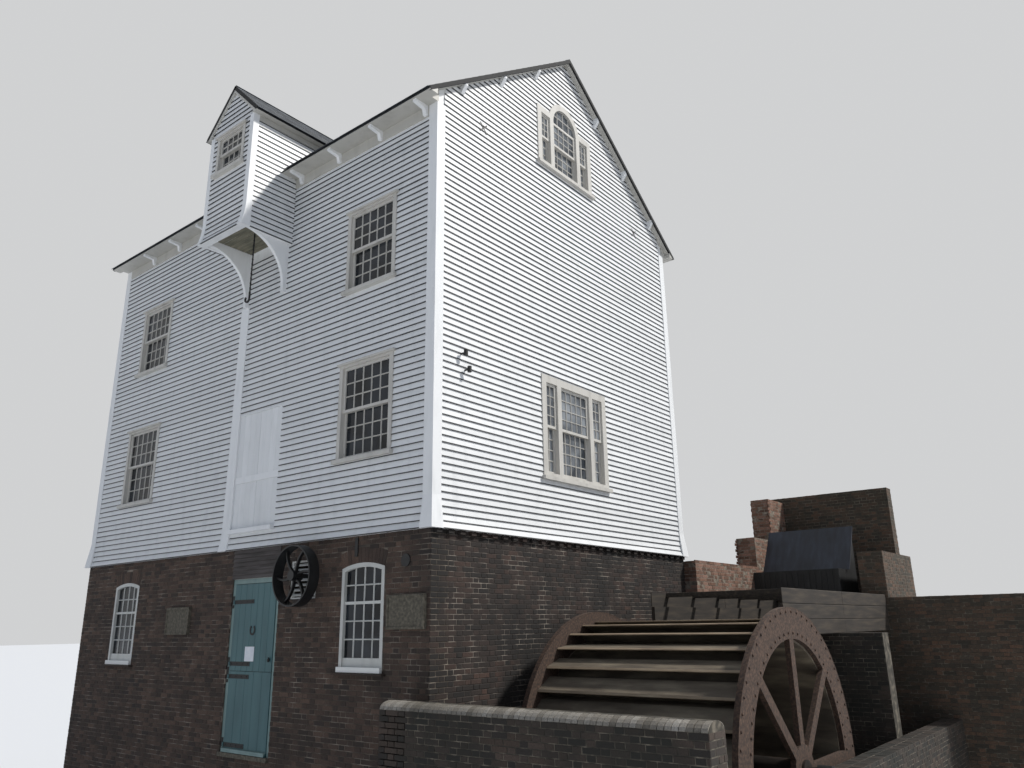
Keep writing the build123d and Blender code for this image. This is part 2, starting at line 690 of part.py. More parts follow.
def build_eaves_boxing():
    """Boxed eaves with their friezes, the boards under the verges, and the same round the hoist housing."""
    inner = HALF_WIDTH - CORNER_BOARD_WIDTH
    outer = HALF_WIDTH + CORNER_BOARD
    front = eaves_wedge(-outer, HOIST_LEFT) + frieze_board(-inner, HOIST_LEFT)
    front += eaves_wedge(HOIST_RIGHT, outer) + frieze_board(HOIST_RIGHT, inner)
    middle = Plane.XZ.offset(-RIDGE_Y)
    back = mirror(eaves_wedge(-outer, outer) + frieze_board(-inner, inner), about=middle)
    reach = HALF_WIDTH + VERGE_OVERHANG
    front_return = eaves_wedge(outer, reach, VERGE_RETURN - EAVES_OVERHANG)
    verge = verge_soffit() + front_return + mirror(front_return, about=middle)
    ring = front + back + verge + mirror(verge, about=Plane.YZ)
    return [ring, hoist_boxing()]


def verge_soffit():
    """Board under the overhanging edge of both slopes of a gable."""
    tip = -EAVES_OVERHANG
    low = EAVES_TIP - ROOF_COVER
    high = RIDGE_Z - ROOF_COVER
    points = ((tip, low), (RIDGE_Y, high), (DEPTH - tip, low), (DEPTH - tip - VERGE_SOFFIT / SLOPE, low),
              (RIDGE_Y, high - VERGE_SOFFIT), (tip + VERGE_SOFFIT / SLOPE, low))
    return outline_along_x(points, HALF_WIDTH, HALF_WIDTH + VERGE_OVERHANG)


def hoist_boxing():
    """Boxed side eaves of the hoist housing with their friezes, and the boards under its front slates."""
    reach = HOIST_WIDTH / 2 + HOIST_EAVES_OVERHANG
    front = -HOIST_REACH - HOIST_FRONT_OVERHANG
    back = hoist_meets_roof(HOIST_LEFT)
    low = HOIST_CENTRE - reach
    under = hoist_roof_top(HOIST_LEFT) - HOIST_ROOF_COVER
    side = outline_along_y(((low, HOIST_SOFFIT), (HOIST_LEFT, HOIST_SOFFIT), (HOIST_LEFT, under)), front, back)
    side += block(HOIST_LEFT - HOIST_FRIEZE, HOIST_LEFT, HOIST_CORNER_WIDTH - HOIST_REACH, back,
                  HOIST_SOFFIT - HOIST_FRIEZE_HEIGHT, HOIST_SOFFIT)
    top = HOIST_RIDGE - HOIST_ROOF_COVER
    barge = outline_along_y(
        ((low, HOIST_SOFFIT), (HOIST_CENTRE, top), (HOIST_CENTRE + reach, HOIST_SOFFIT),
         (HOIST_CENTRE + reach - HOIST_BARGE_HEIGHT / HOIST_SLOPE, HOIST_SOFFIT),
         (HOIST_CENTRE, top - HOIST_BARGE_HEIGHT),
         (low + HOIST_BARGE_HEIGHT / HOIST_SLOPE, HOIST_SOFFIT)), front, -HOIST_REACH)
    boxing = barge + side + mirror(side, about=Plane.YZ.offset(HOIST_CENTRE))
    return boxing - main_roof_bulk()


def main_roof_bulk():
    """All that lies under the front slope of the main roof, beside the hoist housing."""
    reach = HOIST_WIDTH / 2 + HOIST_EAVES_OVERHANG
    points = ((-EAVES_OVERHANG, 0), (-EAVES_OVERHANG, EAVES_TIP), (RIDGE_Y, RIDGE_Z), (RIDGE_Y, 0))
    return outline_along_x(points, HOIST_CENTRE - reach, HOIST_CENTRE + reach)


def scrolled_bracket(centre, top):
    """One bracket against a frieze, with a hollow under its arm and a square toe."""
    back = -FRIEZE_BOARD
    front = back - BRACKET_REACH
    foot = top - BRACKET_DROP
    bend = (back - BRACKET_TOE - BRACKET_HOLLOW, top - BRACKET_TOE - BRACKET_HOLLOW)
    points = ((front, top - BRACKET_TOE), (front, top), (back, top), (back, foot), (back - BRACKET_TOE, foot), bend)
    return outline_along_x(points, centre - BRACKET_WIDTH / 2, centre + BRACKET_WIDTH / 2)


def bracket_places():
    """Centres of the eaves brackets of one long side, clear of the hoist housing."""
    right = [BRACKET_FIRST + BRACKET_PITCH * step for step in range(4)]
    left = [BRACKET_FIRST - BRACKET_PITCH * step for step in range(2, 7)]
    limit = HALF_WIDTH - CORNER_BOARD_WIDTH - BRACKET_WIDTH / 2
    return [place for place in left + right if abs(place) < limit]


def verge_bracket(y):
    """One bracket against the gable on the wheel side, its top cut to the roof's slope."""
    top = roof_underside(y) - VERGE_SOFFIT
    foot = top - BRACKET_DROP
    high = top + BRACKET_WIDTH
    inner = HALF_WIDTH
    outer = HALF_WIDTH + VERGE_BRACKET_REACH
    points = ((outer, top - BRACKET_TOE), (outer, high), (inner, high), (inner, foot),
              (inner + BRACKET_TOE, foot))
    face = make_face(Polyline(*points, close=True))
    low, far = y - BRACKET_WIDTH / 2, y + BRACKET_WIDTH / 2
    bracket = extrude(Plane.XZ.offset(-far) * face, BRACKET_WIDTH)
    over = ((low, roof_underside(low) - VERGE_SOFFIT), (far, roof_underside(far) - VERGE_SOFFIT),
            (far, high + BRACKET_WIDTH), (low, high + BRACKET_WIDTH))
    return bracket - outline_along_x(over, inner, outer)


def build_eaves_brackets():
    """All the small brackets under the eaves and the verges."""
    brackets = []
    for place in bracket_places():
        bracket = scrolled_bracket(place, SOFFIT)
        brackets.extend((bracket, turned_to_side(bracket, "back")))
    middle = Plane.XZ.offset(-RIDGE_Y)
    for step in range(VERGE_BRACKETS):
        near = verge_bracket(VERGE_BRACKET_FIRST + VERGE_BRACKET_PITCH * step)
        for bracket in (near, mirror(near, about=middle)):
            brackets.extend((bracket, mirror(bracket, about=Plane.YZ)))
    return brackets


def hoist_meets_roof(x):
    """Depth at which the hoist housing's roof runs into the main roof."""
    return (hoist_roof_top(x) - RIDGE_Z) / SLOPE + RIDGE_Y


def build_hoist_front():
    """Boarded front of the hoist housing, flared at its foot."""
    eaves = hoist_roof_top(HOIST_LEFT) - HOIST_ROOF_COVER
    points = ((HOIST_LEFT, HOIST_FOOT), (HOIST_RIGHT, HOIST_FOOT), (HOIST_RIGHT, eaves),
              (HOIST_CENTRE, HOIST_RIDGE - HOIST_ROOF_COVER), (HOIST_LEFT, eaves))
    front = outline_along_y(points, -HOIST_REACH, HOIST_WALL - HOIST_REACH)
    front -= Pos(0, -HOIST_REACH, 0) * block(
        HOIST_CENTRE - HOIST_WINDOW_WIDTH / 2, HOIST_CENTRE + HOIST_WINDOW_WIDTH / 2, 0, HOIST_WALL,
        HOIST_WINDOW_FOOT, HOIST_WINDOW_FOOT + HOIST_WINDOW_HEIGHT)
    return front + Pos(0, -HOIST_REACH, 0) * skirt(HOIST_LEFT, HOIST_RIGHT, HOIST_FOOT, HOIST_FLARE)


def build_hoist_cheeks():
    """Boarded sides of the hoist housing, from its front back to the roof slope."""
    front = HOIST_WALL - HOIST_REACH
    eaves = hoist_roof_top(HOIST_LEFT) - HOIST_ROOF_COVER
    wall_top = roof_underside(0)
    back = (eaves - wall_top) / SLOPE
    points = ((front, HOIST_FOOT), (0, HOIST_FOOT), (0, wall_top), (back, eaves), (front, eaves))
    left = outline_along_x(points, HOIST_LEFT, HOIST_LEFT + HOIST_WALL)
    return [left, mirror(left, about=Plane.YZ.offset(HOIST_CENTRE))]


def hoist_corner_board():
    """Left corner board of the hoist housing, kicked out with its front."""
    front = -HOIST_REACH
    outer, inner = HOIST_LEFT - HOIST_CORNER, HOIST_LEFT + HOIST_CORNER_WIDTH
    kicked = Pos(0, front - HOIST_CORNER, 0) * skirt(outer, inner, HOIST_FOOT, HOIST_FLARE)
    face = block(outer, inner, front - HOIST_CORNER, front, HOIST_FOOT, HOIST_SOFFIT)
    side = block(outer, HOIST_LEFT, front, front + HOIST_CORNER_WIDTH, HOIST_FOOT, HOIST_SOFFIT)
    return kicked + face + side


def build_hoist_housing():
    """The housing: its front, its two cheeks, its corner boards and a floor level with the loft."""
    low, high = inner_hoist_edges()
    floor = block(low, high, HOIST_WALL - HOIST_REACH, 0, LOFT_FLOOR - HOIST_FLOOR, LOFT_FLOOR)
    trap = Pos(CHAIN_X, CHAIN_Y, LOFT_FLOOR - HOIST_FLOOR / 2) * Cylinder(CHAIN_RADIUS + SEAT, HOIST_FLOOR)
    housing = build_hoist_front() + floor
    for cheek in build_hoist_cheeks():
        housing += cheek
    corner = hoist_corner_board()
    housing += corner
    housing += mirror(corner, about=Plane.YZ.offset(HOIST_CENTRE))
    return housing - trap


def build_hoist_roof():
    """Small gabled roof of the hoist housing, run back into the main roof."""
    reach = HOIST_WIDTH / 2 + HOIST_EAVES_OVERHANG
    front = -HOIST_REACH - HOIST_FRONT_OVERHANG
    low, high = HOIST_CENTRE - reach, HOIST_CENTRE + reach
    points = ((low, HOIST_EAVES_TIP), (HOIST_CENTRE, HOIST_RIDGE), (high, HOIST_EAVES_TIP), (high, HOIST_SOFFIT),
              (HOIST_CENTRE, HOIST_RIDGE - HOIST_ROOF_COVER), (low, HOIST_SOFFIT))
    return outline_along_y(points, front, hoist_meets_roof(HOIST_CENTRE)) - main_roof_bulk()


def hoist_bracket(x_low):
    """Board under the hoist housing, just inside a cheek, with a quarter-round hollow."""
    top = LOFT_FLOOR - HOIST_FLOOR
    front = HOIST_WALL - HOIST_REACH
    toe = -HOIST_BRACKET_TOE
    edge = Polyline((front, HOIST_BRACKET_TIP), (front, top), (0, top), (0, HOIST_BRACKET_FOOT),
                    (toe, HOIST_BRACKET_FOOT), (toe, HOIST_BRACKET_SPRING))
    hollow = TangentArc((toe, HOIST_BRACKET_SPRING), (front, HOIST_BRACKET_TIP), tangent=(0, 1))
    face = make_face(Curve() + [edge, hollow])
    return extrude(Plane.YZ.offset(x_low) * face, HOIST_BRACKET_THICKNESS)


def trim_board():
    """Long upright board on the front wall under the left bracket, kicked out with the boarding."""
    low, high = TRIM_BOARD_LEFT, TRIM_BOARD_LEFT + TRIM_BOARD_WIDTH
    outer = Pos(0, -TRIM_BOARD, 0) * skirt(low, high)
    board = block(low, high, -TRIM_BOARD, 0, BOARDING_FOOT, HOIST_BRACKET_FOOT)
    return outer + board - skirt(low, high)


def build_hoist_brackets():
    """Brackets that carry the hoist housing, the left one above the long trim board."""
    low, high = inner_hoist_edges()
    return [hoist_bracket(low) + trim_board(), hoist_bracket(high - HOIST_BRACKET_THICKNESS)]


def hoist_chain():
    """Chain through the housing's floor, with an open hook of flat bar at its end."""
    chain = Pos(CHAIN_X, CHAIN_Y, (CHAIN_FOOT + LOFT_FLOOR) / 2) * Cylinder(CHAIN_RADIUS, LOFT_FLOOR - CHAIN_FOOT)
    half = HOOK_BAR / 2
    shank_foot = CHAIN_FOOT - HOOK_SHANK
    shank = block(CHAIN_X - half, CHAIN_X + half, CHAIN_Y - half, CHAIN_Y + half, shank_foot, CHAIN_FOOT)
    ring = Circle(HOOK_RADIUS + half) - Circle(HOOK_RADIUS - half)
    mouth = make_face(Polyline((0, 0), (3 * HOOK_RADIUS, 0), (3 * HOOK_RADIUS, 3 * HOOK_RADIUS),
                               (-3 * HOOK_RADIUS, 3 * HOOK_RADIUS), (-3 * HOOK_RADIUS, 0), (0, 0)))
    lifted = Rot(0, 0, 180 - HOOK_SWEEP) * mouth
    place = Plane((CHAIN_X - HOOK_RADIUS, CHAIN_Y + half, shank_foot), x_dir=(1, 0, 0), z_dir=(0, -1, 0))
    bend = extrude(place * (ring - (mouth & lifted)), HOOK_BAR)
    return chain + shank + bend


def window_frame(centre, foot, width, height):
    """Frame of a sash window with its sill and drip board, on a wall face at y = 0."""
    low, high = centre - width / 2, centre + width / 2
    depth = FRAME_DEPTH - FRAME_PROUD
    frame = block(low, high, -FRAME_PROUD, depth, foot, foot + height)
    inner = UPPER_FRAME
    frame -= block(low + inner, high - inner, -FRAME_PROUD, depth, foot + inner, foot + height - inner)
    sill = block(low - inner / 2, high + inner / 2, -SILL_REACH, 0, foot, foot + SILL_HEIGHT)
    drip = block(low - inner / 2, high + inner / 2, -DRIP_REACH, 0, foot + height - DRIP_HEIGHT, foot + height)
    return frame + sill + drip


def sash_pair(centre, foot, width, height, rail_share=0.5):
    """The two sashes of a window, the lower one set behind the upper."""
    low, high = centre - width / 2 + SEAT, centre + width / 2 - SEAT
    rail = foot + height * rail_share
    sashes = []
    for step, (bottom, top) in enumerate(((rail, foot + height - SEAT), (foot + SEAT, rail + SASH_STILE))):
        front = step * (SASH_DEPTH + SEAT)
        sash = block(low, high, front, front + SASH_DEPTH, bottom, top)
        sash -= block(low + SASH_STILE, high - SASH_STILE, front, front + SASH_DEPTH,
                      bottom + SASH_STILE, top - SASH_STILE)
        sashes.append(sash)
    return sashes


def pane(centre, foot, width, height, rail_share=0.5):
    """One sheet of glass in each sash of a window."""
    low, high = centre - width / 2 + SEAT + SASH_STILE, centre + width / 2 - SEAT - SASH_STILE
    rail = foot + height * rail_share
    sheets = []
    for step, (bottom, top) in enumerate(((rail, foot + height - SEAT), (foot + SEAT, rail + SASH_STILE))):
        front = step * (SASH_DEPTH + SEAT) + SASH_DEPTH / 2
        sheets.append(block(low, high, front, front + GLASS, bottom + SASH_STILE, top - SASH_STILE))
    return sheets


def inside_frame(centre, foot, width, height):
    """The daylight of a window, inside its frame."""
    return centre, foot + UPPER_FRAME, width - 2 * UPPER_FRAME, height - 2 * UPPER_FRAME


def gable_lights(side):
    """Centre, foot, width, height of the square lights of both gable windows."""
    centre = gable_window_centre(side)
    lights = []
    for width, foot, height in ((TRIPLE_WIDTH, TRIPLE_FOOT, TRIPLE_HEIGHT),
                                (VENETIAN_WIDTH, VENETIAN_FOOT, VENETIAN_SIDE_HEIGHT)):
        inner = width - 2 * GABLE_FRAME - 2 * MULLION
        side_width = inner * SIDE_LIGHT_SHARE
        middle_width = inner - 2 * side_width
        shift = middle_width / 2 + MULLION + side_width / 2
        low, tall = foot + GABLE_FRAME, height - 2 * GABLE_FRAME
        for across, light_width in ((-shift, side_width), (0, middle_width), (shift, side_width)):
            lights.append((centre + across, low, light_width, tall))
    return lights


def arch_light(side, margin, y_low, y_high):
    """The round head of the loft window's middle light."""
    centre = gable_window_centre(side)
    radius = gable_lights(side)[4][2] / 2
    spring = venetian_spring()
    half = radius - margin
    base = Line((centre - half, spring), (centre + half, spring))
    head = ThreePointArc((centre - half, spring), (centre, spring + half), (centre + half, spring))
    return face_through_wall(make_face(Curve() + [base, head]), y_low, y_high)


def light_hole(light, depth):
    """Clear opening of one light of a window, cut through its frame."""
    centre, foot, width, height = light
    return block(centre - width / 2, centre + width / 2, -FRAME_PROUD, depth, foot, foot + height)


def gable_frames(side):
    """Frames of both gable windows, with their mullions, sills and drip boards."""
    centre = gable_window_centre(side)
    depth = FRAME_DEPTH - FRAME_PROUD
    triple = face_through_wall(triple_outline(centre), -FRAME_PROUD, depth)
    venetian = face_through_wall(venetian_outline(centre), -FRAME_PROUD, depth)
    for light in gable_lights(side)[:3]:
        triple -= light_hole(light, depth)
    for light in gable_lights(side)[3:]:
        venetian -= light_hole(light, depth)
    venetian -= arch_light(side, 0, -FRAME_PROUD, depth)
    frames = []
    for frame, width, foot in ((triple, TRIPLE_WIDTH, TRIPLE_FOOT), (venetian, VENETIAN_WIDTH, VENETIAN_FOOT)):
        half = width / 2 + UPPER_FRAME / 2
        frame += block(centre - half, centre + half, -SILL_REACH, 0, foot, foot + SILL_HEIGHT)
        frames.append(turned_to_side(frame, side))
    return frames


def build_window_frames():
    """Frames of all the windows in the boarded walls."""
    frames = []
    for side in ("front", "back"):
        for place in front_window_places():
            frames.append(turned_to_side(window_frame(*place), side))
    for side in ("wheel", "left"):
        frames.extend(gable_frames(side))
    hoist = window_frame(HOIST_CENTRE, HOIST_WINDOW_FOOT, HOIST_WINDOW_WIDTH, HOIST_WINDOW_HEIGHT)
    frames.append(Pos(0, -HOIST_REACH, 0) * hoist)
    return frames + build_ground_window_frames()


def window_lights():
    """Every pair of sashes in the boarded walls: its side, its daylight."""
    lights = []
    for side in ("front", "back"):
        for place in front_window_places():
            lights.append((side, inside_frame(*place)))
    for side in ("wheel", "left"):
        for light in gable_lights(side):
            lights.append((side, light))
    return lights


def hoist_light():
    """Daylight of the hoist housing's window."""
    return inside_frame(HOIST_CENTRE, HOIST_WINDOW_FOOT, HOIST_WINDOW_WIDTH, HOIST_WINDOW_HEIGHT)


def build_window_sashes():
    """Sashes of all the windows in the boarded walls."""
    sashes = []
    for side, light in window_lights():
        sashes.extend(turned_to_side(sash, side) for sash in sash_pair(*light))
    for sash in sash_pair(*hoist_light()):
        sashes.append(Pos(0, -HOIST_REACH, 0) * sash)
    return sashes


def build_window_glass():
    """Glass of all the windows in the boarded walls and of the ground storey."""
    sheets = []
    for side, light in window_lights():
        sheets.extend(turned_to_side(sheet, side) for sheet in pane(*light))
    for sheet in pane(*hoist_light()):
        sheets.append(Pos(0, -HOIST_REACH, 0) * sheet)
    for side in ("wheel", "left"):
        arch = arch_light(side, SEAT, SASH_DEPTH / 2, SASH_DEPTH / 2 + GLASS)
        sheets.append(turned_to_side(arch, side))
    middle = GROUND_WINDOW_RECESS + GROUND_FRAME / 2
    for centre in (GROUND_WINDOW_LEFT, GROUND_WINDOW_RIGHT):
        sheets.append(ground_window_solid(centre, GROUND_FRAME + SEAT, middle, middle + GLASS))
    return sheets


def build_ground_window_frames():
    """Ground storey window frames with their meeting rails and projecting sills."""
    frames = []
    low, high = GROUND_WINDOW_RECESS, GROUND_WINDOW_RECESS + GROUND_FRAME
    for centre in (GROUND_WINDOW_LEFT, GROUND_WINDOW_RIGHT):
        frame = ground_window_solid(centre, 0, low, high) - ground_window_solid(centre, GROUND_FRAME, low, high)
        half = GROUND_WINDOW_WIDTH / 2
        sill = block(centre - half, centre + half, -GROUND_SILL_REACH, low, GROUND_WINDOW_FOOT,
                     GROUND_WINDOW_FOOT + GROUND_SILL_HEIGHT)
        frames.append(frame + sill)
    return frames


def build_loading_doors():
    """Pair of closed loading doors on their ledge, with a blank board across them."""
    low, high = LOADING_LEFT, LOADING_LEFT + LOADING_WIDTH
    middle = (low + high) / 2
    top = LOADING_FOOT + LOADING_HEIGHT
    left = block(low, middle - LOADING_GAP / 2, 0, LOADING_LEAF, LOADING_FOOT, top)
    right = block(middle + LOADING_GAP / 2, high, 0, LOADING_LEAF, LOADING_FOOT, top)
    board = block(low, high, -BLANK_BOARD, 0, BLANK_BOARD_FOOT, BLANK_BOARD_FOOT + BLANK_BOARD_HEIGHT)
    ledge = block(low, high, -LOADING_LEDGE_REACH, BOARDED_WALL, LOADING_FOOT - LOADING_LEDGE, LOADING_FOOT)
    return left + right + board + ledge


def build_door_frame():
    """Frame of the street door, with the pins that its hinges drop over, and the beam above it."""
    front, back = DOOR_FRAME_SETBACK, DOOR_FRAME_SETBACK + DOOR_FRAME_DEPTH
    frame = block(DOOR_LEFT, DOOR_RIGHT, front, back, STREET, DOOR_HEAD)
    frame -= block(DOOR_LEFT + DOOR_FRAME_MEMBER, DOOR_RIGHT - DOOR_FRAME_MEMBER, front, back,
                   STREET, DOOR_HEAD - DOOR_FRAME_MEMBER)
    for level in HINGE_LEVELS_UPPER + HINGE_LEVELS_LOWER:
        frame += pintle(level) + hinge_plate(level)
    lintel = block(DOOR_LEFT, DOOR_RIGHT, 0, BRICK_WALL, DOOR_OPENING_TOP, BOARDING_FOOT)
    return [frame, lintel]


def pintle(level):
    """A pin on a lug that is screwed to the door frame."""
    foot = level - HINGE_STRAP_HEIGHT / 2 - HINGE_PIN_RADIUS
    pin = Pos(HINGE_X, HINGE_Y, foot + PINTLE_LENGTH / 2) * Cylinder(HINGE_PIN_RADIUS, PINTLE_LENGTH)
    lug = block(HINGE_X - DOOR_FRAME_MEMBER / 2, HINGE_X, HINGE_Y - HINGE_PIN_RADIUS / 2, DOOR_FRAME_SETBACK,
                foot - HINGE_PIN_RADIUS, foot)
    return pin + lug


def hinge_plate(level):
    """Upright plate of a tee hinge on the face of the door frame."""
    high = HINGE_X - HINGE_KNUCKLE_RADIUS - DOOR_GAP
    return block(high - HINGE_PLATE_WIDTH, high, DOOR_FRAME_SETBACK - HINGE_STRAP, DOOR_FRAME_SETBACK,
                 level - HINGE_PLATE_HEIGHT / 2, level + HINGE_PLATE_HEIGHT / 2)


def hinge_strap(level):
    """A strap across a door leaf with a knuckle round its pin."""
    face = DOOR_LEAF_SETBACK
    low = level - HINGE_STRAP_HEIGHT / 2
    strap = block(HINGE_X, HINGE_X + HINGE_STRAP_LENGTH, face - HINGE_STRAP, face, low, low + HINGE_STRAP_HEIGHT)
    centre = Pos(HINGE_X, HINGE_Y, level)
    strap += centre * Cylinder(HINGE_KNUCKLE_RADIUS, HINGE_STRAP_HEIGHT)
    return strap - centre * Cylinder(HINGE_PIN_RADIUS + HINGE_PIN_CLEARANCE, HINGE_STRAP_HEIGHT)


def door_leaf(foot, top, levels):
    """One leaf of the street door with its hinge straps."""
    face = DOOR_LEAF_SETBACK
    leaf = block(LEAF_LEFT, LEAF_RIGHT, face, face + DOOR_LEAF, foot, top)
    for level in levels:
        clear = Pos(HINGE_X, HINGE_Y, level) * Cylinder(HINGE_KNUCKLE_RADIUS + DOOR_GAP, PINTLE_LENGTH * 2)
        leaf = leaf - clear
    for level in levels:
        leaf += hinge_strap(level)
    return leaf


def build_stable_door_upper():
    """Upper leaf, with a horseshoe and a pull handle."""
    leaf = door_leaf(DOOR_SPLIT + DOOR_GAP / 2, DOOR_HEAD - DOOR_FRAME_MEMBER - DOOR_TOP_GAP, HINGE_LEVELS_UPPER)
    face = DOOR_LEAF_SETBACK
    middle = (LEAF_LEFT + LEAF_RIGHT) / 2
    shoe = Circle(HORSESHOE_RADIUS + HORSESHOE_BAR / 2) - Circle(HORSESHOE_RADIUS - HORSESHOE_BAR / 2)
    shoe -= Pos(0, HORSESHOE_RADIUS) * Rectangle(HORSESHOE_MOUTH, HORSESHOE_RADIUS)
    place = Plane((middle, face, HORSESHOE_LEVEL), x_dir=(1, 0, 0), z_dir=(0, -1, 0))
    return leaf + extrude(place * shoe, HORSESHOE_THICKNESS) + door_handle()


def door_handle():
    """Lock plate and handle near the free edge of the upper leaf."""
    face = DOOR_LEAF_SETBACK
    plate = block(LEAF_RIGHT - 2 * HINGE_STRAP_HEIGHT, LEAF_RIGHT - HINGE_STRAP_HEIGHT / 2, face - HINGE_STRAP, face,
                  HANDLE_LEVEL - HINGE_STRAP_HEIGHT, HANDLE_LEVEL + HINGE_STRAP_HEIGHT)
    bar = block(LEAF_RIGHT - 3 * HINGE_STRAP_HEIGHT, LEAF_RIGHT - HINGE_STRAP_HEIGHT, face - 6 * HINGE_STRAP,
                face - 4 * HINGE_STRAP, HANDLE_LEVEL - HINGE_STRAP, HANDLE_LEVEL + HINGE_STRAP)
    neck = block(LEAF_RIGHT - 1.5 * HINGE_STRAP_HEIGHT, LEAF_RIGHT - HINGE_STRAP_HEIGHT, face - 4 * HINGE_STRAP,
                 face - HINGE_STRAP, HANDLE_LEVEL - HINGE_STRAP, HANDLE_LEVEL + HINGE_STRAP)
    return plate + bar + neck


def build_stable_door_lower():
    """Lower leaf, with a sloping weather board at its foot."""
    foot = STREET + DOOR_GAP
    leaf = door_leaf(foot, DOOR_SPLIT - DOOR_GAP / 2, HINGE_LEVELS_LOWER)
    face = DOOR_LEAF_SETBACK
    points = ((face, foot), (face, foot + WEATHER_SILL_HEIGHT), (face - WEATHER_SILL_REACH, foot + HINGE_STRAP),
              (face - WEATHER_SILL_REACH, foot))
    start = LEAF_LEFT + HINGE_KNUCKLE_RADIUS * 2
    return leaf + outline_along_x(points, start, LEAF_RIGHT)


def louvre(x_low, x_high, foot, top, y_front):
    """A frame with slanting slats."""
    depth = LOUVRE_FRAME
    frame = block(x_low, x_high, y_front, y_front + depth, foot, top)
    frame -= block(x_low + LOUVRE_FRAME, x_high - LOUVRE_FRAME, y_front, y_front + depth,
                   foot + LOUVRE_FRAME, top - LOUVRE_FRAME)
    count = int((top - foot - 2 * LOUVRE_FRAME) / LOUVRE_PITCH)
    pitch = (top - foot - 2 * LOUVRE_FRAME) / count
    for step in range(count):
        level = foot + LOUVRE_FRAME + pitch * (step + 0.5)
        slat = Rot(LOUVRE_TILT, 0, 0) * Box(x_high - x_low - 2 * LOUVRE_FRAME, depth, LOUVRE_SLAT)
        frame += Pos((x_low + x_high) / 2, y_front + depth / 2, level) * slat
    return frame


def build_louvres():
    """Slatted panel over the street door, and the vent round the pulley's shaft."""
    over_door = louvre(DOOR_LEFT, DOOR_RIGHT, DOOR_HEAD, DOOR_OPENING_TOP, DOOR_FRAME_SETBACK)
    half = VENT_WIDTH / 2
    vent = louvre(VENT_X - half, VENT_X + half, VENT_FOOT, VENT_FOOT + VENT_HEIGHT, DOOR_FRAME_SETBACK)
    around = Pos(PULLEY_X, 0, PULLEY_Z) * Rot(90, 0, 0) * Cylinder(PULLEY_HUB_RADIUS, BRICK_WALL)
    return [over_door, vent - around]


def build_pulley():
    """Six-spoked belt pulley on a short shaft."""
    along_y = Rot(90, 0, 0)
    middle = -PULLEY_GAP - PULLEY_WIDTH / 2
    rim = Cylinder(PULLEY_RADIUS, PULLEY_WIDTH) - Cylinder(PULLEY_RADIUS - PULLEY_RIM, PULLEY_WIDTH)
    hub = Cylinder(PULLEY_HUB_RADIUS, PULLEY_WIDTH)
    wheel = rim + hub
    outer = PULLEY_RADIUS - PULLEY_RIM / 2
    for step in range(PULLEY_SPOKES):
        wheel += Rot(0, 0, 360 * step / PULLEY_SPOKES) * pulley_spoke(outer)
    shaft = Pos(0, 0, -(PULLEY_GAP + PULLEY_WIDTH / 2 + BRICK_WALL) / 2) * Cylinder(
        PULLEY_SHAFT_RADIUS, PULLEY_GAP + PULLEY_WIDTH / 2 + BRICK_WALL)
    return Pos(PULLEY_X, middle, PULLEY_Z) * along_y * (wheel + shaft)


def pulley_spoke(outer):
    """One spoke, bowed like an S, from the hub to the rim."""
    inner = PULLEY_HUB_RADIUS / 2
    middle = (inner + outer) / 2
    half = PULLEY_SPOKE_WIDTH / 2
    near = ThreePointArc((inner, half), (middle, PULLEY_SPOKE_BOW + half), (outer, half))
    far = ThreePointArc((outer, -half), (middle, PULLEY_SPOKE_BOW - half), (inner, -half))
    face = make_face(Curve() + [near, Line(near @ 1, far @ 0), far, Line(far @ 1, near @ 0)])
    return extrude(Plane.XY.offset(-PULLEY_SPOKE_DEPTH / 2) * face, PULLEY_SPOKE_DEPTH)


def pulley_bearing():
    """Bearing bar that carries the pulley's shaft in the wall."""
    half = VENT_WIDTH / 2
    low, high = BRICK_WALL - 2 * PULLEY_BRACKET, BRICK_WALL - PULLEY_BRACKET
    bar = block(VENT_X - half, VENT_X + half, low, high, PULLEY_Z - PULLEY_BRACKET, PULLEY_Z + PULLEY_BRACKET)
    journal = Rot(90, 0, 0) * Cylinder(PULLEY_SHAFT_RADIUS + SEAT, PULLEY_BRACKET)
    return bar - Pos(PULLEY_X, (low + high) / 2, PULLEY_Z) * journal


def wall_plaques():
    """Two bare stone plaques on the front wall's face."""
    plaques = []
    for centre, level, width, height in (
            (LEFT_PLAQUE_X, LEFT_PLAQUE_Z, LEFT_PLAQUE_WIDTH, LEFT_PLAQUE_HEIGHT),
            (RIGHT_PLAQUE_X, RIGHT_PLAQUE_Z, RIGHT_PLAQUE_WIDTH, RIGHT_PLAQUE_HEIGHT)):
        plaque = block(centre - width / 2, centre + width / 2, -PLAQUE, 0, level - height / 2, level + height / 2)
        plaques.append(chamfer(plaque.faces().sort_by(Axis.Y)[0].edges(), PLAQUE_SINK))
    return plaques


def tie_plates():
    """Iron plates and bars at the ends of the tie rods."""
    plate = Pos(TIE_PLATE_X, -TIE_PLATE / 2, TIE_PLATE_Z) * Rot(90, 0, 0) * Cylinder(TIE_PLATE_RADIUS, TIE_PLATE)
    strap = block(TIE_STRAP_X - TIE_STRAP_WIDTH / 2, TIE_STRAP_X + TIE_STRAP_WIDTH / 2, -TIE_PLATE, 0,
                  TIE_STRAP_FOOT, TIE_STRAP_FOOT + TIE_STRAP_HEIGHT)
    pieces = [plate, strap]
    for y in GABLE_TIE_Y:
        bar = Box(GABLE_TIE_BAR, GABLE_TIE_BAR, GABLE_TIE_LENGTH)
        crossed = Rot(0, 45, 0) * bar + Rot(0, -45, 0) * bar
        pieces.append(turned_to_side(Pos(y - RIDGE_Y, -GABLE_TIE_BAR / 2, GABLE_TIE_Z) * crossed, "wheel"))
    return pieces


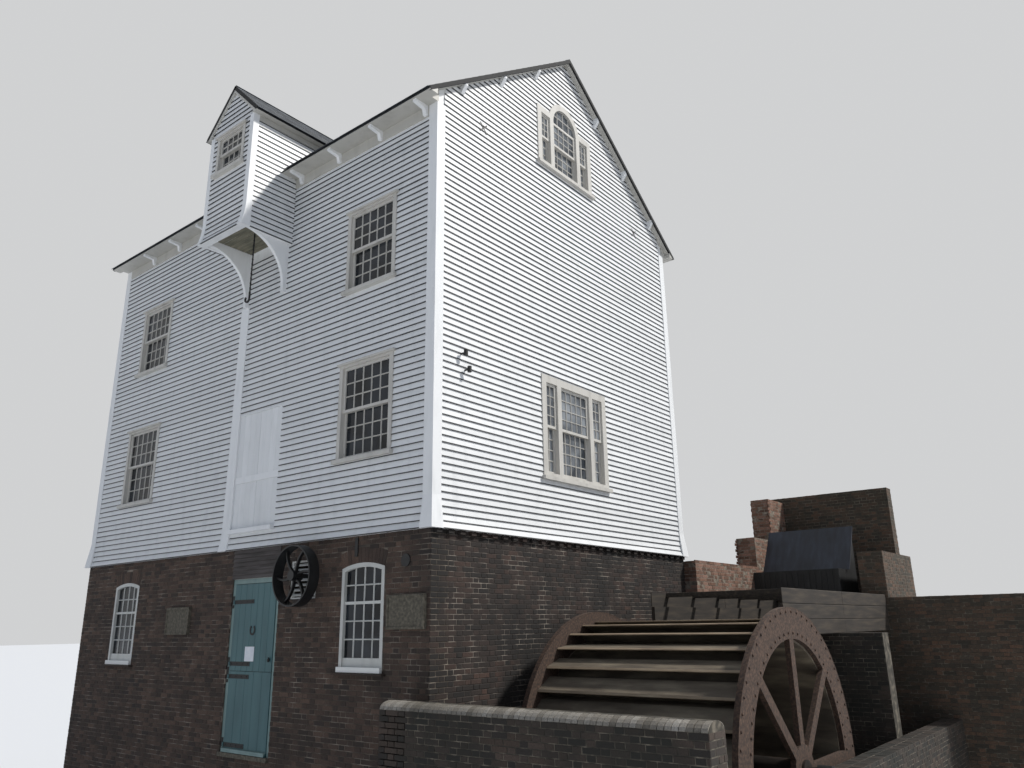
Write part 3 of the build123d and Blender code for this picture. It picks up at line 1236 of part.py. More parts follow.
def cable_bracket():
    """Two iron arms on the gable next to the corner, each with an insulator on a spindle."""
    pieces = []
    for y, level in zip(CABLE_BRACKET_Y, (CABLE_BRACKET_Z, CABLE_BRACKET_Z - CABLE_BRACKET_DROP)):
        arm = block(y - CABLE_BAR / 2, y + CABLE_BAR / 2, -CABLE_ARM, 0, level - CABLE_BAR / 2, level + CABLE_BAR / 2)
        spindle = Pos(y, -CABLE_ARM, level) * Cylinder(INSULATOR_RADIUS, INSULATOR_HEIGHT)
        pieces.append(turned_to_side(Pos(-RIDGE_Y, 0, 0) * (arm + spindle), "wheel"))
    return pieces


def wheel_place(x):
    """A frame on the wheel's axis, turned so that its Z points along X."""
    return Plane((x, WHEEL_AXIS_Y, WHEEL_AXIS_Z), x_dir=(0, 1, 0), z_dir=(1, 0, 0))


def wheel_side(x_low):
    """One side of the wheel: rim, arms and hub plate."""
    rim = RegularPolygon(WHEEL_RADIUS, RIM_SIDES) - RegularPolygon(WHEEL_RADIUS - SHROUD_DEPTH, RIM_SIDES)
    arm_length = WHEEL_RADIUS - SHROUD_DEPTH / 2
    arms = Sketch()
    for step in range(WHEEL_ARMS):
        arms += Rot(0, 0, 360 * step / WHEEL_ARMS) * Pos(arm_length / 2, 0) * Rectangle(arm_length, ARM_WIDTH)
    face = rim + arms + Circle(HUB_RADIUS) - Circle(SHAFT_RADIUS)
    return extrude(wheel_place(x_low) * face, SHROUD)


def build_wheel_sides():
    """Both sides of the wheel."""
    return [wheel_side(WHEEL_INNER_X), wheel_side(WHEEL_OUTER_X - SHROUD)]


def bucket_outline():
    """Section of one bucket: a stretch of sole and a board that bends forward to its lip."""
    sole_outer = WHEEL_RADIUS - SHROUD_DEPTH
    sole_inner = sole_outer - BUCKET_BOARD
    turn = 2 * pi / WHEEL_BUCKETS
    slack = SOLE_GAP / sole_outer
    start, end = slack / 2, turn - slack / 2

    def at(radius, angle):
        return radius * cos(angle), radius * sin(angle)

    def board_edge(lag):
        points = []
        for share in (0, 0.5, 1):
            radius = sole_outer + BUCKET_REACH * share
            points.append(at(radius, start + turn * BUCKET_LEAD * share ** BUCKET_CURL + lag / radius))
        return points

    back, front = board_edge(0), board_edge(BUCKET_BOARD)
    sole = [at(sole_inner, start), at(sole_inner, end), at(sole_outer, end)]
    return make_face(Polyline(*sole, *front, *reversed(back), close=True))


def build_wheel_buckets():
    """All the buckets between the wheel's sides."""
    face = bucket_outline()
    length = WHEEL_WIDTH - 2 * SHROUD
    buckets = []
    for step in range(WHEEL_BUCKETS):
        turned = Rot(0, 0, 360 * step / WHEEL_BUCKETS) * face
        buckets.append(extrude(wheel_place(WHEEL_INNER_X + SHROUD) * turned, length))
    return buckets


def build_wheel_shaft():
    """Axle of the wheel, stepped down to a journal at each end."""
    inner_end = HALF_WIDTH - AXLE_RECESS + SHROUD
    outer_end = PIT_OUTER_X + BEARING_WIDTH
    body_low, body_high = WHEEL_INNER_X - HUB_THICKNESS, WHEEL_OUTER_X + HUB_THICKNESS / 4
    body = extrude(wheel_place(body_low) * Circle(SHAFT_RADIUS), body_high - body_low)
    journal = extrude(wheel_place(inner_end) * Circle(JOURNAL_RADIUS), outer_end - inner_end)
    return body + journal


def bearing(x_low, foot):
    """A plummer block under and round a journal."""
    half = BEARING_DEPTH / 2
    base = block(x_low, x_low + BEARING_WIDTH, WHEEL_AXIS_Y - half, WHEEL_AXIS_Y + half,
                 foot, WHEEL_AXIS_Z - BEARING_HEIGHT / 2)
    neck = block(x_low, x_low + BEARING_WIDTH, WHEEL_AXIS_Y - half / 2, WHEEL_AXIS_Y + half / 2,
                 WHEEL_AXIS_Z - BEARING_HEIGHT / 2, WHEEL_AXIS_Z)
    cap = extrude(wheel_place(x_low) * Circle(half / 2), BEARING_WIDTH)
    hole = extrude(wheel_place(x_low) * Circle(JOURNAL_RADIUS + JOURNAL_CLEARANCE), BEARING_WIDTH)
    return base + neck + cap - hole


def build_ironwork():
    """Bearings of the wheel and the pulley, the tie plates, and the hoist's chain and hook."""
    inner = bearing(HALF_WIDTH - AXLE_RECESS + SHROUD / 2, WHEEL_AXIS_Z - BEARING_HEIGHT)
    outer = bearing(PIT_OUTER_X + SHROUD / 2, WHEEL_AXIS_Z - BEARING_HEIGHT)
    return [inner, outer, pulley_bearing(), hoist_chain()] + tie_plates() + cable_bracket()


def build_pit_front_wall():
    """Front wall of the wheel pit, a parapet above the street and an arch for the tail water."""
    left = HALF_WIDTH - BRICK_WALL
    right = PIT_OUTER_X + PIT_WALL
    wall = block(left, right, PIT_FRONT, 0, 0, STREET)
    wall += block(HALF_WIDTH + PARAPET_LEFT_GAP, right, PIT_FRONT, PARAPET_BACK, STREET, PARAPET_TOP)
    centre = (WHEEL_INNER_X + WHEEL_OUTER_X) / 2
    half = TAIL_ARCH_WIDTH / 2
    sides = Polyline((centre - half, TAIL_ARCH_SPRING), (centre - half, 0), (centre + half, 0),
                     (centre + half, TAIL_ARCH_SPRING))
    head = ThreePointArc((centre - half, TAIL_ARCH_SPRING), (centre, TAIL_ARCH_SPRING + TAIL_ARCH_RISE),
                         (centre + half, TAIL_ARCH_SPRING))
    wall -= face_through_wall(make_face(Curve() + [sides, head]), PIT_FRONT, 0)
    return wall + parapet_coping()


def parapet_coping():
    """Half-round coping on the parapet."""
    middle = (PIT_FRONT + PARAPET_BACK) / 2
    half = (PARAPET_BACK - PIT_FRONT) / 2
    arc = ThreePointArc((middle - half, PARAPET_TOP), (middle, PARAPET_TOP + COPING_RISE),
                        (middle + half, PARAPET_TOP))
    base = Line((middle - half, PARAPET_TOP), (middle + half, PARAPET_TOP))
    left, right = HALF_WIDTH + PARAPET_LEFT_GAP, PIT_OUTER_X + PIT_WALL
    return extrude(Plane.YZ.offset(left) * make_face(Curve() + [arc, base]), right - left)


def build_pit_outer_wall():
    """Outer side wall of the wheel pit, with a seat for the axle's bearing."""
    wall = block(PIT_OUTER_X, PIT_OUTER_X + PIT_WALL, 0, SLUICE_Y, 0, STREET)
    half = BEARING_DEPTH / 2 + SEAT
    seat = block(PIT_OUTER_X, PIT_OUTER_X + PIT_WALL, WHEEL_AXIS_Y - half, WHEEL_AXIS_Y + half,
                 WHEEL_AXIS_Z - BEARING_HEIGHT, STREET)
    return wall - seat


def build_pit_back_wall():
    """Back wall of the wheel pit, which carries the launder."""
    return block(HALF_WIDTH, PIT_OUTER_X, PIT_BACK_Y, PIT_BACK_Y + PIT_WALL, 0, LAUNDER_FLOOR_TOP - LAUNDER_BOARD)


def build_launder():
    """Open timber trough from the sluice to the top of the wheel, with the sluice's sill beam across it."""
    right = LAUNDER_LEFT + LAUNDER_WIDTH
    floor = LAUNDER_FLOOR_TOP - LAUNDER_BOARD
    trough = block(LAUNDER_LEFT, right, LAUNDER_END_Y, SLUICE_Y, floor, LAUNDER_TOP)
    trough -= block(LAUNDER_LEFT + LAUNDER_BOARD, right - LAUNDER_BOARD, LAUNDER_END_Y, SLUICE_Y,
                    LAUNDER_FLOOR_TOP, LAUNDER_TOP)
    beam = block(SILL_BEAM_LEFT, SLUICE_BOX_RIGHT, SLUICE_Y - SILL_BEAM_DEPTH, SLUICE_Y,
                 LAUNDER_TOP, LAUNDER_TOP + SILL_BEAM_HEIGHT)
    return trough + beam


def build_wing_wall():
    """Brick wall from the mill's back corner, stepped up to the head wall."""
    points = ((DEPTH, 0), (HEAD_WALL_Y, 0), (HEAD_WALL_Y, HIGH_PIER_TOP), (HIGH_PIER_Y, HIGH_PIER_TOP),
              (HIGH_PIER_Y, LOW_PIER_TOP), (LOW_PIER_Y, LOW_PIER_TOP), (LOW_PIER_Y, WING_TOP), (DEPTH, WING_TOP))
    return outline_along_x(points, WING_FACE - WING_THICKNESS, WING_FACE)


def build_head_wall():
    """Tall brick wall across the back of the sluice."""
    return block(WING_FACE - WING_THICKNESS, HEAD_WALL_RIGHT, HEAD_WALL_Y, HEAD_WALL_Y + HEAD_WALL, 0, HEAD_WALL_TOP)


def build_right_pier():
    """Brick pier and side wall on the right of the sluice."""
    return block(RIGHT_PIER_LEFT, RIGHT_PIER_LEFT + RIGHT_PIER_WIDTH, SLUICE_Y, HEAD_WALL_Y, 0, RIGHT_PIER_TOP)


def build_sluice_walls():
    """Brick wall under the sluice, and the low wall that runs on to the right of the pier."""
    left = RIGHT_PIER_LEFT + RIGHT_PIER_WIDTH
    bank = block(left, left + BANK_WALL_LENGTH, SLUICE_Y, SLUICE_Y + PIT_WALL, 0, BANK_WALL_TOP)
    sluice = block(WING_FACE, RIGHT_PIER_LEFT, SLUICE_Y, SLUICE_Y + SLUICE_WALL, 0, SLUICE_WALL_TOP)
    return [sluice, bank]


def build_stonework():
    """Threshold, plaques, and the blocks along the foot of the wing wall."""
    threshold = block(DOOR_LEFT, DOOR_RIGHT, -WEATHER_SILL_REACH, BRICK_WALL, STREET - THRESHOLD, STREET)
    stones = [threshold] + wall_plaques()
    for step in range(STONE_LEDGE_BLOCKS):
        start = DEPTH + step * STONE_LEDGE_BLOCK
        stones.append(block(WING_FACE, WING_FACE + STONE_LEDGE_REACH, start, start + STONE_LEDGE_BLOCK - STONE_JOINT,
                            STONE_LEDGE_FOOT, STONE_LEDGE_FOOT + STONE_LEDGE_HEIGHT))
    return stones


def build_sluice_boards():
    """Black boarded box of the sluice, open underneath."""
    front, back = SLUICE_Y, COVER_HIGH_Y
    points = ((front, SLUICE_WALL_TOP), (front, SLUICE_BOX_TOP), (COVER_LOW_Y, SLUICE_BOX_TOP),
              (back, COVER_TOP), (back + SLUICE_BOARD, COVER_TOP), (back + SLUICE_BOARD, SLUICE_WALL_TOP))
    inner_top = SLUICE_BOX_TOP - SLUICE_BOARD
    hollow = ((front + SLUICE_BOARD, SLUICE_WALL_TOP), (front + SLUICE_BOARD, inner_top), (COVER_LOW_Y, inner_top),
              (COVER_LOW_Y, SLUICE_BOX_TOP), (back, COVER_TOP), (back, SLUICE_WALL_TOP))
    box = outline_along_x(points, WING_FACE, SLUICE_BOX_RIGHT)
    return box - outline_along_x(hollow, WING_FACE + SLUICE_BOARD, SLUICE_BOX_RIGHT - SLUICE_BOARD)


def build_sluice_cover():
    """Sloping lid of the sluice."""
    points = ((COVER_LOW_Y, SLUICE_BOX_TOP), (COVER_HIGH_Y, COVER_TOP), (COVER_HIGH_Y, COVER_TOP + COVER_BOARD),
              (COVER_LOW_Y - COVER_BOARD, SLUICE_BOX_TOP))
    return outline_along_x(points, WING_FACE, SLUICE_BOX_RIGHT + SLUICE_POST)


PARTS = {
    "front_wall_left": build_front_wall_left,
    "front_wall_right": build_front_wall_right,
    "door_footing": build_door_footing,
    "back_brick_wall": build_back_brick_wall,
    "left_brick_wall": build_left_brick_wall,
    "wheel_side_brick_wall": build_wheel_side_brick_wall,
    "floors": build_floors,
    "front_boarding_left": build_front_boarding_left,
    "front_boarding_right": build_front_boarding_right,
    "front_boarding_middle": build_front_boarding_middle,
    "back_boarding": build_back_boarding,
    "wheel_side_gable": lambda: build_gable("wheel"),
    "left_gable": lambda: build_gable("left"),
    "corner_boards": build_corner_boards,
    "roof_front": build_roof_front,
    "roof_back": build_roof_back,
    "eaves_boxing": build_eaves_boxing,
    "eaves_brackets": build_eaves_brackets,
    "hoist_housing": build_hoist_housing,
    "hoist_roof": build_hoist_roof,
    "hoist_brackets": build_hoist_brackets,
    "window_frames": build_window_frames,
    "window_sashes": build_window_sashes,
    "window_glass": build_window_glass,
    "loading_doors": build_loading_doors,
    "door_frame": build_door_frame,
    "stable_door_upper": build_stable_door_upper,
    "stable_door_lower": build_stable_door_lower,
    "louvres": build_louvres,
    "pulley": build_pulley,
    "ironwork": build_ironwork,
    "stonework": build_stonework,
    "wheel_sides": build_wheel_sides,
    "wheel_buckets": build_wheel_buckets,
    "wheel_shaft": build_wheel_shaft,
    "pit_front_wall": build_pit_front_wall,
    "pit_outer_wall": build_pit_outer_wall,
    "pit_back_wall": build_pit_back_wall,
    "launder": build_launder,
    "wing_wall": build_wing_wall,
    "head_wall": build_head_wall,
    "right_pier": build_right_pier,
    "sluice_walls": build_sluice_walls,
    "sluice_boards": build_sluice_boards,
    "sluice_cover": build_sluice_cover,
}


def as_shape(built):
    """One solid, or several that stay apart in one shape."""
    if isinstance(built, list):
        return Compound([solid for piece in built for solid in piece.solids()])
    return built


os.makedirs("parts", exist_ok=True)
for name, builder in PARTS.items():
    shape = as_shape(builder())
    export_step(shape, f"parts/{name}.step")
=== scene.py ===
import math
import random

import bmesh
import bpy
from mathutils import Matrix, Vector


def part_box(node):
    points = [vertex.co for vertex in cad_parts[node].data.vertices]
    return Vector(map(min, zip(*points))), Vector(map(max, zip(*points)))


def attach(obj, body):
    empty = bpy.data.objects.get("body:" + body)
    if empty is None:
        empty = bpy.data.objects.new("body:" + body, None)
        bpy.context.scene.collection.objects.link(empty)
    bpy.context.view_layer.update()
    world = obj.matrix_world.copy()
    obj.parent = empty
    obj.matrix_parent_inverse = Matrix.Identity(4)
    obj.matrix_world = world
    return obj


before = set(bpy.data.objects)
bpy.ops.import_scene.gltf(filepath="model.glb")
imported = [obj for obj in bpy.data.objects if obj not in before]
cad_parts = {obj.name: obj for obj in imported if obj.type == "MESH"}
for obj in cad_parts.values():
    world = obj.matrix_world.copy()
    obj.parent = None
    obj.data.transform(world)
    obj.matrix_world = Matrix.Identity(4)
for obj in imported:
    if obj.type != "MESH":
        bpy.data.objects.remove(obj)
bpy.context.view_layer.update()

# The stage. A plain pale floor lies level with the underside of the walls, under a pale sky
# that lights the shaded street front, with one soft sun from behind the wheel side.
FLOOR_HALF = 300.0
FLOOR_GAP = 0.004
PALE = "#E6E7E8"
SEEN_SKY_STRENGTH = 0.8
SKY_LIGHT = "#C3D2EA"
SKY_STRENGTH = 0.42
SUN_COLOUR = "#FFFCF7"
SUN_STRENGTH = 3.4
SUN_TOWARDS = Vector((-0.62, -0.46, -0.78))
SUN_WIDTH = math.radians(6)
LENS = 27.98
SENSOR = 36.0
CAMERA_PLACE = Vector((12.472, -7.722, 3.969))
CAMERA_TURN = math.radians(38.4975)
CAMERA_RISE = math.radians(16.8735)
CAMERA_ROLL = math.radians(-0.889)


def linear(colour):
    """An sRGB hex colour as the linear red, green, blue and alpha that a shader takes."""
    shares = [int(colour[at:at + 2], 16) / 255 for at in (1, 3, 5)]
    return tuple(s / 12.92 if s <= 0.04045 else ((s + 0.055) / 1.055) ** 2.4 for s in shares) + (1.0,)


def add(tree, kind, settings=None):
    """Adds one node. A setting is a property or an input: a plain value, a hex colour or a socket to link."""
    node = tree.nodes.new(kind)
    for key, value in (settings or {}).items():
        if key == "stops":
            while len(node.color_ramp.elements) < len(value):
                node.color_ramp.elements.new(0.5)
            for stop, (place, colour) in zip(node.color_ramp.elements, value):
                stop.position = place
                stop.color = linear(colour)
        elif isinstance(value, bpy.types.NodeSocket):
            tree.links.new(value, node.inputs[key])
        elif isinstance(key, str) and hasattr(node, key):
            setattr(node, key, value)
        else:
            is_colour = isinstance(value, str) and value.startswith("#")
            node.inputs[key].default_value = linear(value) if is_colour else value
    return node


def finish(name, roughness, **sockets):
    """A new material with one Principled BSDF: the material, its tree and that node."""
    material = bpy.data.materials.new(name)
    material.use_nodes = True
    shader = material.node_tree.nodes["Principled BSDF"]
    shader.inputs["Roughness"].default_value = roughness
    for key, value in sockets.items():
        shader.inputs[key.replace("_", " ")].default_value = value
    return material, material.node_tree, shader


def linked(name, data):
    """A new object in the scene around a mesh or other data."""
    made = bpy.data.objects.new(name, data)
    bpy.context.scene.collection.objects.link(made)
    return made


def mesh_of(name, points, faces):
    """A mesh from points and faces."""
    made = bpy.data.meshes.new(name)
    made.from_pydata([tuple(p) for p in points], [], faces)
    made.update()
    return made


floor_corners = [(x * FLOOR_HALF, y * FLOOR_HALF, -FLOOR_GAP)
                 for x, y in ((-1, -1), (1, -1), (1, 1), (-1, 1))]
floor = linked("floor", mesh_of("floor", floor_corners, [(0, 1, 2, 3)]))
floor.data.materials.append(finish("pale_floor", 0.9, Base_Color=linear(PALE))[0])

sky = bpy.data.worlds.new("pale_sky")
sky.use_nodes = True
sky_tree = sky.node_tree
sky_tree.nodes.clear()
path = add(sky_tree, "ShaderNodeLightPath").outputs
seen = path["Is Camera Ray"]
for ray in ("Is Transmission Ray", "Is Glossy Ray"):
    seen = add(sky_tree, "ShaderNodeMath", {"operation": "MAXIMUM", 0: seen, 1: path[ray]}).outputs[0]
lit = add(sky_tree, "ShaderNodeBackground", {"Color": SKY_LIGHT, "Strength": SKY_STRENGTH}).outputs[0]
shown = add(sky_tree, "ShaderNodeBackground", {"Color": PALE, "Strength": SEEN_SKY_STRENGTH}).outputs[0]
either = add(sky_tree, "ShaderNodeMixShader", {0: seen, 1: lit, 2: shown}).outputs[0]
add(sky_tree, "ShaderNodeOutputWorld", {"Surface": either})
bpy.context.scene.world = sky
bpy.context.scene.view_settings.view_transform = "Standard"

sun = bpy.data.lights.new("sun", "SUN")
sun.energy = SUN_STRENGTH
sun.angle = SUN_WIDTH
sun.color = linear(SUN_COLOUR)[:3]
sun_holder = linked("sun", sun)
sun_holder.rotation_mode = "QUATERNION"
sun_holder.rotation_quaternion = SUN_TOWARDS.to_track_quat("-Z", "Y")

lens = bpy.data.cameras.new("camera")
lens.lens = LENS
lens.sensor_width = SENSOR
camera = linked("camera", lens)
turned = Matrix.Rotation(CAMERA_TURN, 4, "Z") @ Matrix.Rotation(math.pi / 2 + CAMERA_RISE, 4, "X")
camera.matrix_world = Matrix.Translation(CAMERA_PLACE) @ turned @ Matrix.Rotation(CAMERA_ROLL, 4, "Z")
bpy.context.scene.camera = camera

# The brickwork of the mill. Hand-moulded clay bricks are laid in lime mortar in alternate headers
# and stretchers. The masonry solids carry the mortar, and each brick is a piece of its own that
# stands a few millimetres proud of it.
BRICK_LENGTH = 0.215
BRICK_HEADER = 0.104
BRICK_JOINT = 0.010
COURSE = 0.070
BRICK_PROUD = 0.006
BRICK_SUNK = 0.020
BRICK_ARRIS = 0.004
LEAST_BRICK = 0.03
TOP_BRICK_PITCH = 0.074
ARCH_HEIGHT = 0.215
ARCH_RISE = 0.07
THRESHOLD = 0.06
DENTIL_PITCH = 0.235
DENTIL_REACH = 0.045
DENTIL_DEPTH = 3.2
UNEVEN = (0.008, 0.0, 0.006)
FRONT_BRICK_TONES = ("#3B312B", "#483A32", "#56443A", "#655145", "#312A27")
SOOTED_BRICK_TONES = ("#292523", "#352D29", "#413530", "#543F36", "#201E1D")
QUARTER = math.pi / 2
SIDES = {"front": 0.0, "wheel": QUARTER, "back": math.pi, "left": -QUARTER}
UP = Vector((0, 0, 1))
UPRIGHT = (0.0, QUARTER, 0.0)
patterns = []


def along(side):
    """The way that runs left to right as one faces that side of a wall."""
    return Vector((math.cos(SIDES[side]), math.sin(SIDES[side]), 0))


def outward(side):
    """The way out of a wall on that side."""
    return Vector((math.sin(SIDES[side]), -math.cos(SIDES[side]), 0))


def patches(tree, millimetres, detail=4.0, stretch=(1, 1, 1)):
    """A share from 0 to 1 that wanders over patches of about this size on the piece."""
    place = add(tree, "ShaderNodeTexCoord").outputs["Object"]
    sized = add(tree, "ShaderNodeMapping", {"Scale": stretch, "Vector": place}).outputs[0]
    wander = {"Scale": 1000 / millimetres, "Detail": detail, "Vector": sized}
    return add(tree, "ShaderNodeTexNoise", wander).outputs["Fac"]


def surface(tree, shader, colour, height, strength, depth):
    """Lays a colour on a material, and a relief from a height, its full depth in metres."""
    relief = add(tree, "ShaderNodeBump", {"Strength": strength, "Distance": depth, "Height": height})
    tree.links.new(colour, shader.inputs["Base Color"])
    tree.links.new(relief.outputs[0], shader.inputs["Normal"])


def piece_tones(tree, tones):
    """A tone for each brick or slate, by the share that it was given when it was set out."""
    tone = add(tree, "ShaderNodeAttribute", {"attribute_name": "tone"}).outputs["Fac"]
    stops = [(at / (len(tones) - 1), colour) for at, colour in enumerate(tones)]
    return add(tree, "ShaderNodeValToRGB", {"stops": stops, 0: tone}).outputs[0]


def fired_clay(name, tones, soot, sooted):
    """Fired clay, matt and pitted. The eye sees a tone for each brick, and soot or lichen in patches."""
    material, tree, shader = finish(name, 0.9)
    speckle = add(tree, "ShaderNodeValToRGB", {
        "stops": ((0.35, "#8E8E8E"), (0.7, "#FFFFFF")), 0: patches(tree, 16)}).outputs[0]
    clay = add(tree, "ShaderNodeMix", {
        "data_type": "RGBA", "blend_type": "MULTIPLY", 0: 0.55,
        6: piece_tones(tree, tones), 7: speckle}).outputs[2]
    dirt = add(tree, "ShaderNodeValToRGB", {
        "stops": ((0.52 - sooted, "#000000"), (0.86 - sooted, "#FFFFFF")),
        0: patches(tree, 900, 6.0)}).outputs[0]
    clay = add(tree, "ShaderNodeMix", {"data_type": "RGBA", 0: dirt, 6: clay, 7: soot}).outputs[2]
    surface(tree, shader, clay, patches(tree, 6, 6.0), 0.5, 0.003)
    return material


def worn(name, tones, millimetres, roughness, relief, stretch=(1, 1, 1), fine=12, detail=4.0, **sockets):
    """A finish whose colour wanders between a few tones over patches of a size, with a finer relief."""
    material, tree, shader = finish(name, roughness, **sockets)
    stops = [(0.3 + 0.4 * at / (len(tones) - 1), colour) for at, colour in enumerate(tones)]
    colour = add(tree, "ShaderNodeValToRGB", {"stops": stops, 0: patches(tree, millimetres, 8.0, stretch)})
    surface(tree, shader, colour.outputs[0], patches(tree, fine, detail, stretch), 0.4, relief)
    return material


def lime_mortar(name, tones, millimetres=110):
    """Lime mortar, sandy and matt, darkened in patches by damp and soot."""
    return worn(name, tones, millimetres, 0.95, 0.002, fine=3, detail=3.0)


def dress(material, *nodes):
    """Gives CAD nodes a material."""
    for node in nodes:
        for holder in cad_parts[node].material_slots:
            holder.material = material


def geometry_tree(name, inputs, output):
    """A new geometry tree with named inputs and one output, and the sockets of what it is given."""
    tree = bpy.data.node_groups.new(name, "GeometryNodeTree")
    for label, kind, value in inputs:
        socket = tree.interface.new_socket(name=label, in_out="INPUT", socket_type="NodeSocket" + kind)
        if value is not None:
            socket.default_value = value
    tree.interface.new_socket(name=output, in_out="OUTPUT", socket_type="NodeSocketGeometry")
    return tree, add(tree, "NodeGroupInput").outputs


def grown(name, mesh, tree, values):
    """Runs a geometry tree over a mesh once, and keeps what it makes as a plain mesh."""
    piece = linked(name, mesh)
    modifier = piece.modifiers.new(tree.name, "NODES")
    modifier.node_group = tree
    sockets = {item.name: item.identifier for item in tree.interface.items_tree if item.in_out == "INPUT"}
    for label, value in values.items():
        modifier[sockets[label]] = value
    graph = bpy.context.evaluated_depsgraph_get()
    made = bpy.data.meshes.new_from_object(
        piece.evaluated_get(graph), preserve_all_data_layers=True, depsgraph=graph)
    piece.modifiers.clear()
    piece.data = made
    return piece


def pattern(name, points, faces):
    """A small closed shape about the origin, which a tree copies to many places."""
    shape = bmesh.new()
    shape.from_mesh(mesh_of(name, points, faces))
    bmesh.ops.recalc_face_normals(shape, faces=shape.faces)
    mesh = bpy.data.meshes.new(name)
    shape.to_mesh(mesh)
    shape.free()
    patterns.append(linked(name, mesh))
    return patterns[-1]


def prism(outline, low=-0.5, high=0.5):
    """Points and faces of a closed bar along X, with a section of (y, z) points."""
    count = len(outline)
    points = [(x, y, z) for x in (low, high) for y, z in outline]
    faces = [tuple(range(count)), tuple(range(2 * count - 1, count - 1, -1))]
    faces += [(at, (at + 1) % count, count + (at + 1) % count, count + at) for at in range(count)]
    return points, faces


def brick_shape():
    """One brick a metre long and a metre tall, to be scaled, with worn arrises round its face."""
    inset_x, inset_z = BRICK_ARRIS / BRICK_LENGTH, BRICK_ARRIS / COURSE
    rings = ((0.5, 0.5, BRICK_SUNK), (0.5, 0.5, BRICK_ARRIS - BRICK_PROUD),
             (0.5 - inset_x, 0.5 - inset_z, -BRICK_PROUD))
    points = [(sx * x, y, sz * z) for x, z, y in rings for sx, sz in ((-1, -1), (1, -1), (1, 1), (-1, 1))]
    faces = [(3, 2, 1, 0), (8, 9, 10, 11)]
    faces += [(ring + at, ring + (at + 1) % 4, ring + 4 + (at + 1) % 4, ring + 4 + at)
              for ring in (0, 4) for at in range(4)]
    return points, faces


def setting_out_tree():
    """Sets a copy of a pattern on each point, sized and turned by the point, and a little out of true."""
    tree, given = geometry_tree("setting_out", (
        ("Points", "Geometry", None), ("Pattern", "Object", None), ("Out of true", "Vector", (0.0, 0.0, 0.0)),
        ("Set back", "Float", 0.0), ("Seed", "Int", 1), ("Finish", "Material", None)), "Pieces")
    copied = add(tree, "GeometryNodeObjectInfo", {"Object": given["Pattern"]}).outputs["Geometry"]
    size, turn = [add(tree, "GeometryNodeInputNamedAttribute", {
        "data_type": "FLOAT_VECTOR", "Name": label}).outputs[0] for label in ("size", "turn")]
    laid = add(tree, "GeometryNodeInstanceOnPoints", {
        "Points": given["Points"], "Instance": copied, "Scale": size, "Rotation": turn}).outputs[0]
    least = add(tree, "ShaderNodeVectorMath", {
        "operation": "SCALE", "Scale": -1.0, 0: given["Out of true"]}).outputs[0]
    lean = add(tree, "FunctionNodeRandomValue", {
        "data_type": "FLOAT_VECTOR", 0: least, 1: given["Out of true"], "Seed": given["Seed"]}).outputs[0]
    leaning = add(tree, "GeometryNodeRotateInstances", {
        "Local Space": True, "Instances": laid, "Rotation": lean}).outputs[0]
    back = add(tree, "FunctionNodeRandomValue", {
        "data_type": "FLOAT", 3: given["Set back"], "Seed": given["Seed"]}).outputs[1]
    shift = add(tree, "ShaderNodeCombineXYZ", {"Y": back}).outputs[0]
    moved = add(tree, "GeometryNodeTranslateInstances", {
        "Local Space": True, "Instances": leaning, "Translation": shift}).outputs[0]
    tone = add(tree, "FunctionNodeRandomValue", {"data_type": "FLOAT", "Seed": given["Seed"]}).outputs[1]
    toned = add(tree, "GeometryNodeStoreNamedAttribute", {
        "data_type": "FLOAT", "domain": "INSTANCE", "Name": "tone",
        "Geometry": moved, "Value": tone}).outputs[0]
    real = add(tree, "GeometryNodeRealizeInstances", {"Geometry": toned}).outputs[0]
    finished = add(tree, "GeometryNodeSetMaterial", {
        "Geometry": real, "Material": given["Finish"]}).outputs[0]
    add(tree, "NodeGroupOutput", {"Pieces": finished})
    return tree


def spot(x, y, z, size=(1.0, 1.0, 1.0), turn=(0.0, 0.0, 0.0)):
    """One place for a pattern: its point, its size and its turn."""
    return Vector((x, y, z)), size, turn


def set_out(name, shape, places, material, body="building", seed=1, lean=(0, 0, 0), back=0.0):
    """Sets a pattern out at all its places, and keeps them as one piece."""
    cloud = mesh_of(name, [place for place, size, turn in places], [])
    for label, at in (("size", 1), ("turn", 2)):
        layer = cloud.attributes.new(label, "FLOAT_VECTOR", "POINT")
        layer.data.foreach_set("vector", [share for given in places for share in given[at]])
    piece = grown(name, cloud, setting_out, {
        "Pattern": shape, "Out of true": lean, "Set back": back, "Seed": seed, "Finish": material})
    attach(piece, body)


def lay(name, bricks, clay, seed, back=0.003, lean=UNEVEN):
    """Lays the bricks of one wall as one piece."""
    set_out(name, brick, bricks, clay, seed=seed, lean=lean, back=back)


def course_bricks(length, course, start):
    """Left and right end of each brick in one course, headers and stretchers by turns."""
    bricks = []
    at = -start
    header = course % 2 == 0
    while at < length:
        size = BRICK_HEADER if header else BRICK_LENGTH
        low, high = max(at, 0.0), min(at + size, length)
        if high - low > LEAST_BRICK:
            bricks.append((low, high))
        at += size + BRICK_JOINT
        header = not header
    return bricks


def cut(spans, gap, least):
    """What some spans keep on both sides of a gap, without slivers."""
    return [part for a, b in spans for part in ((a, min(b, gap[0])), (max(a, gap[1]), b))
            if part[1] - part[0] > least]


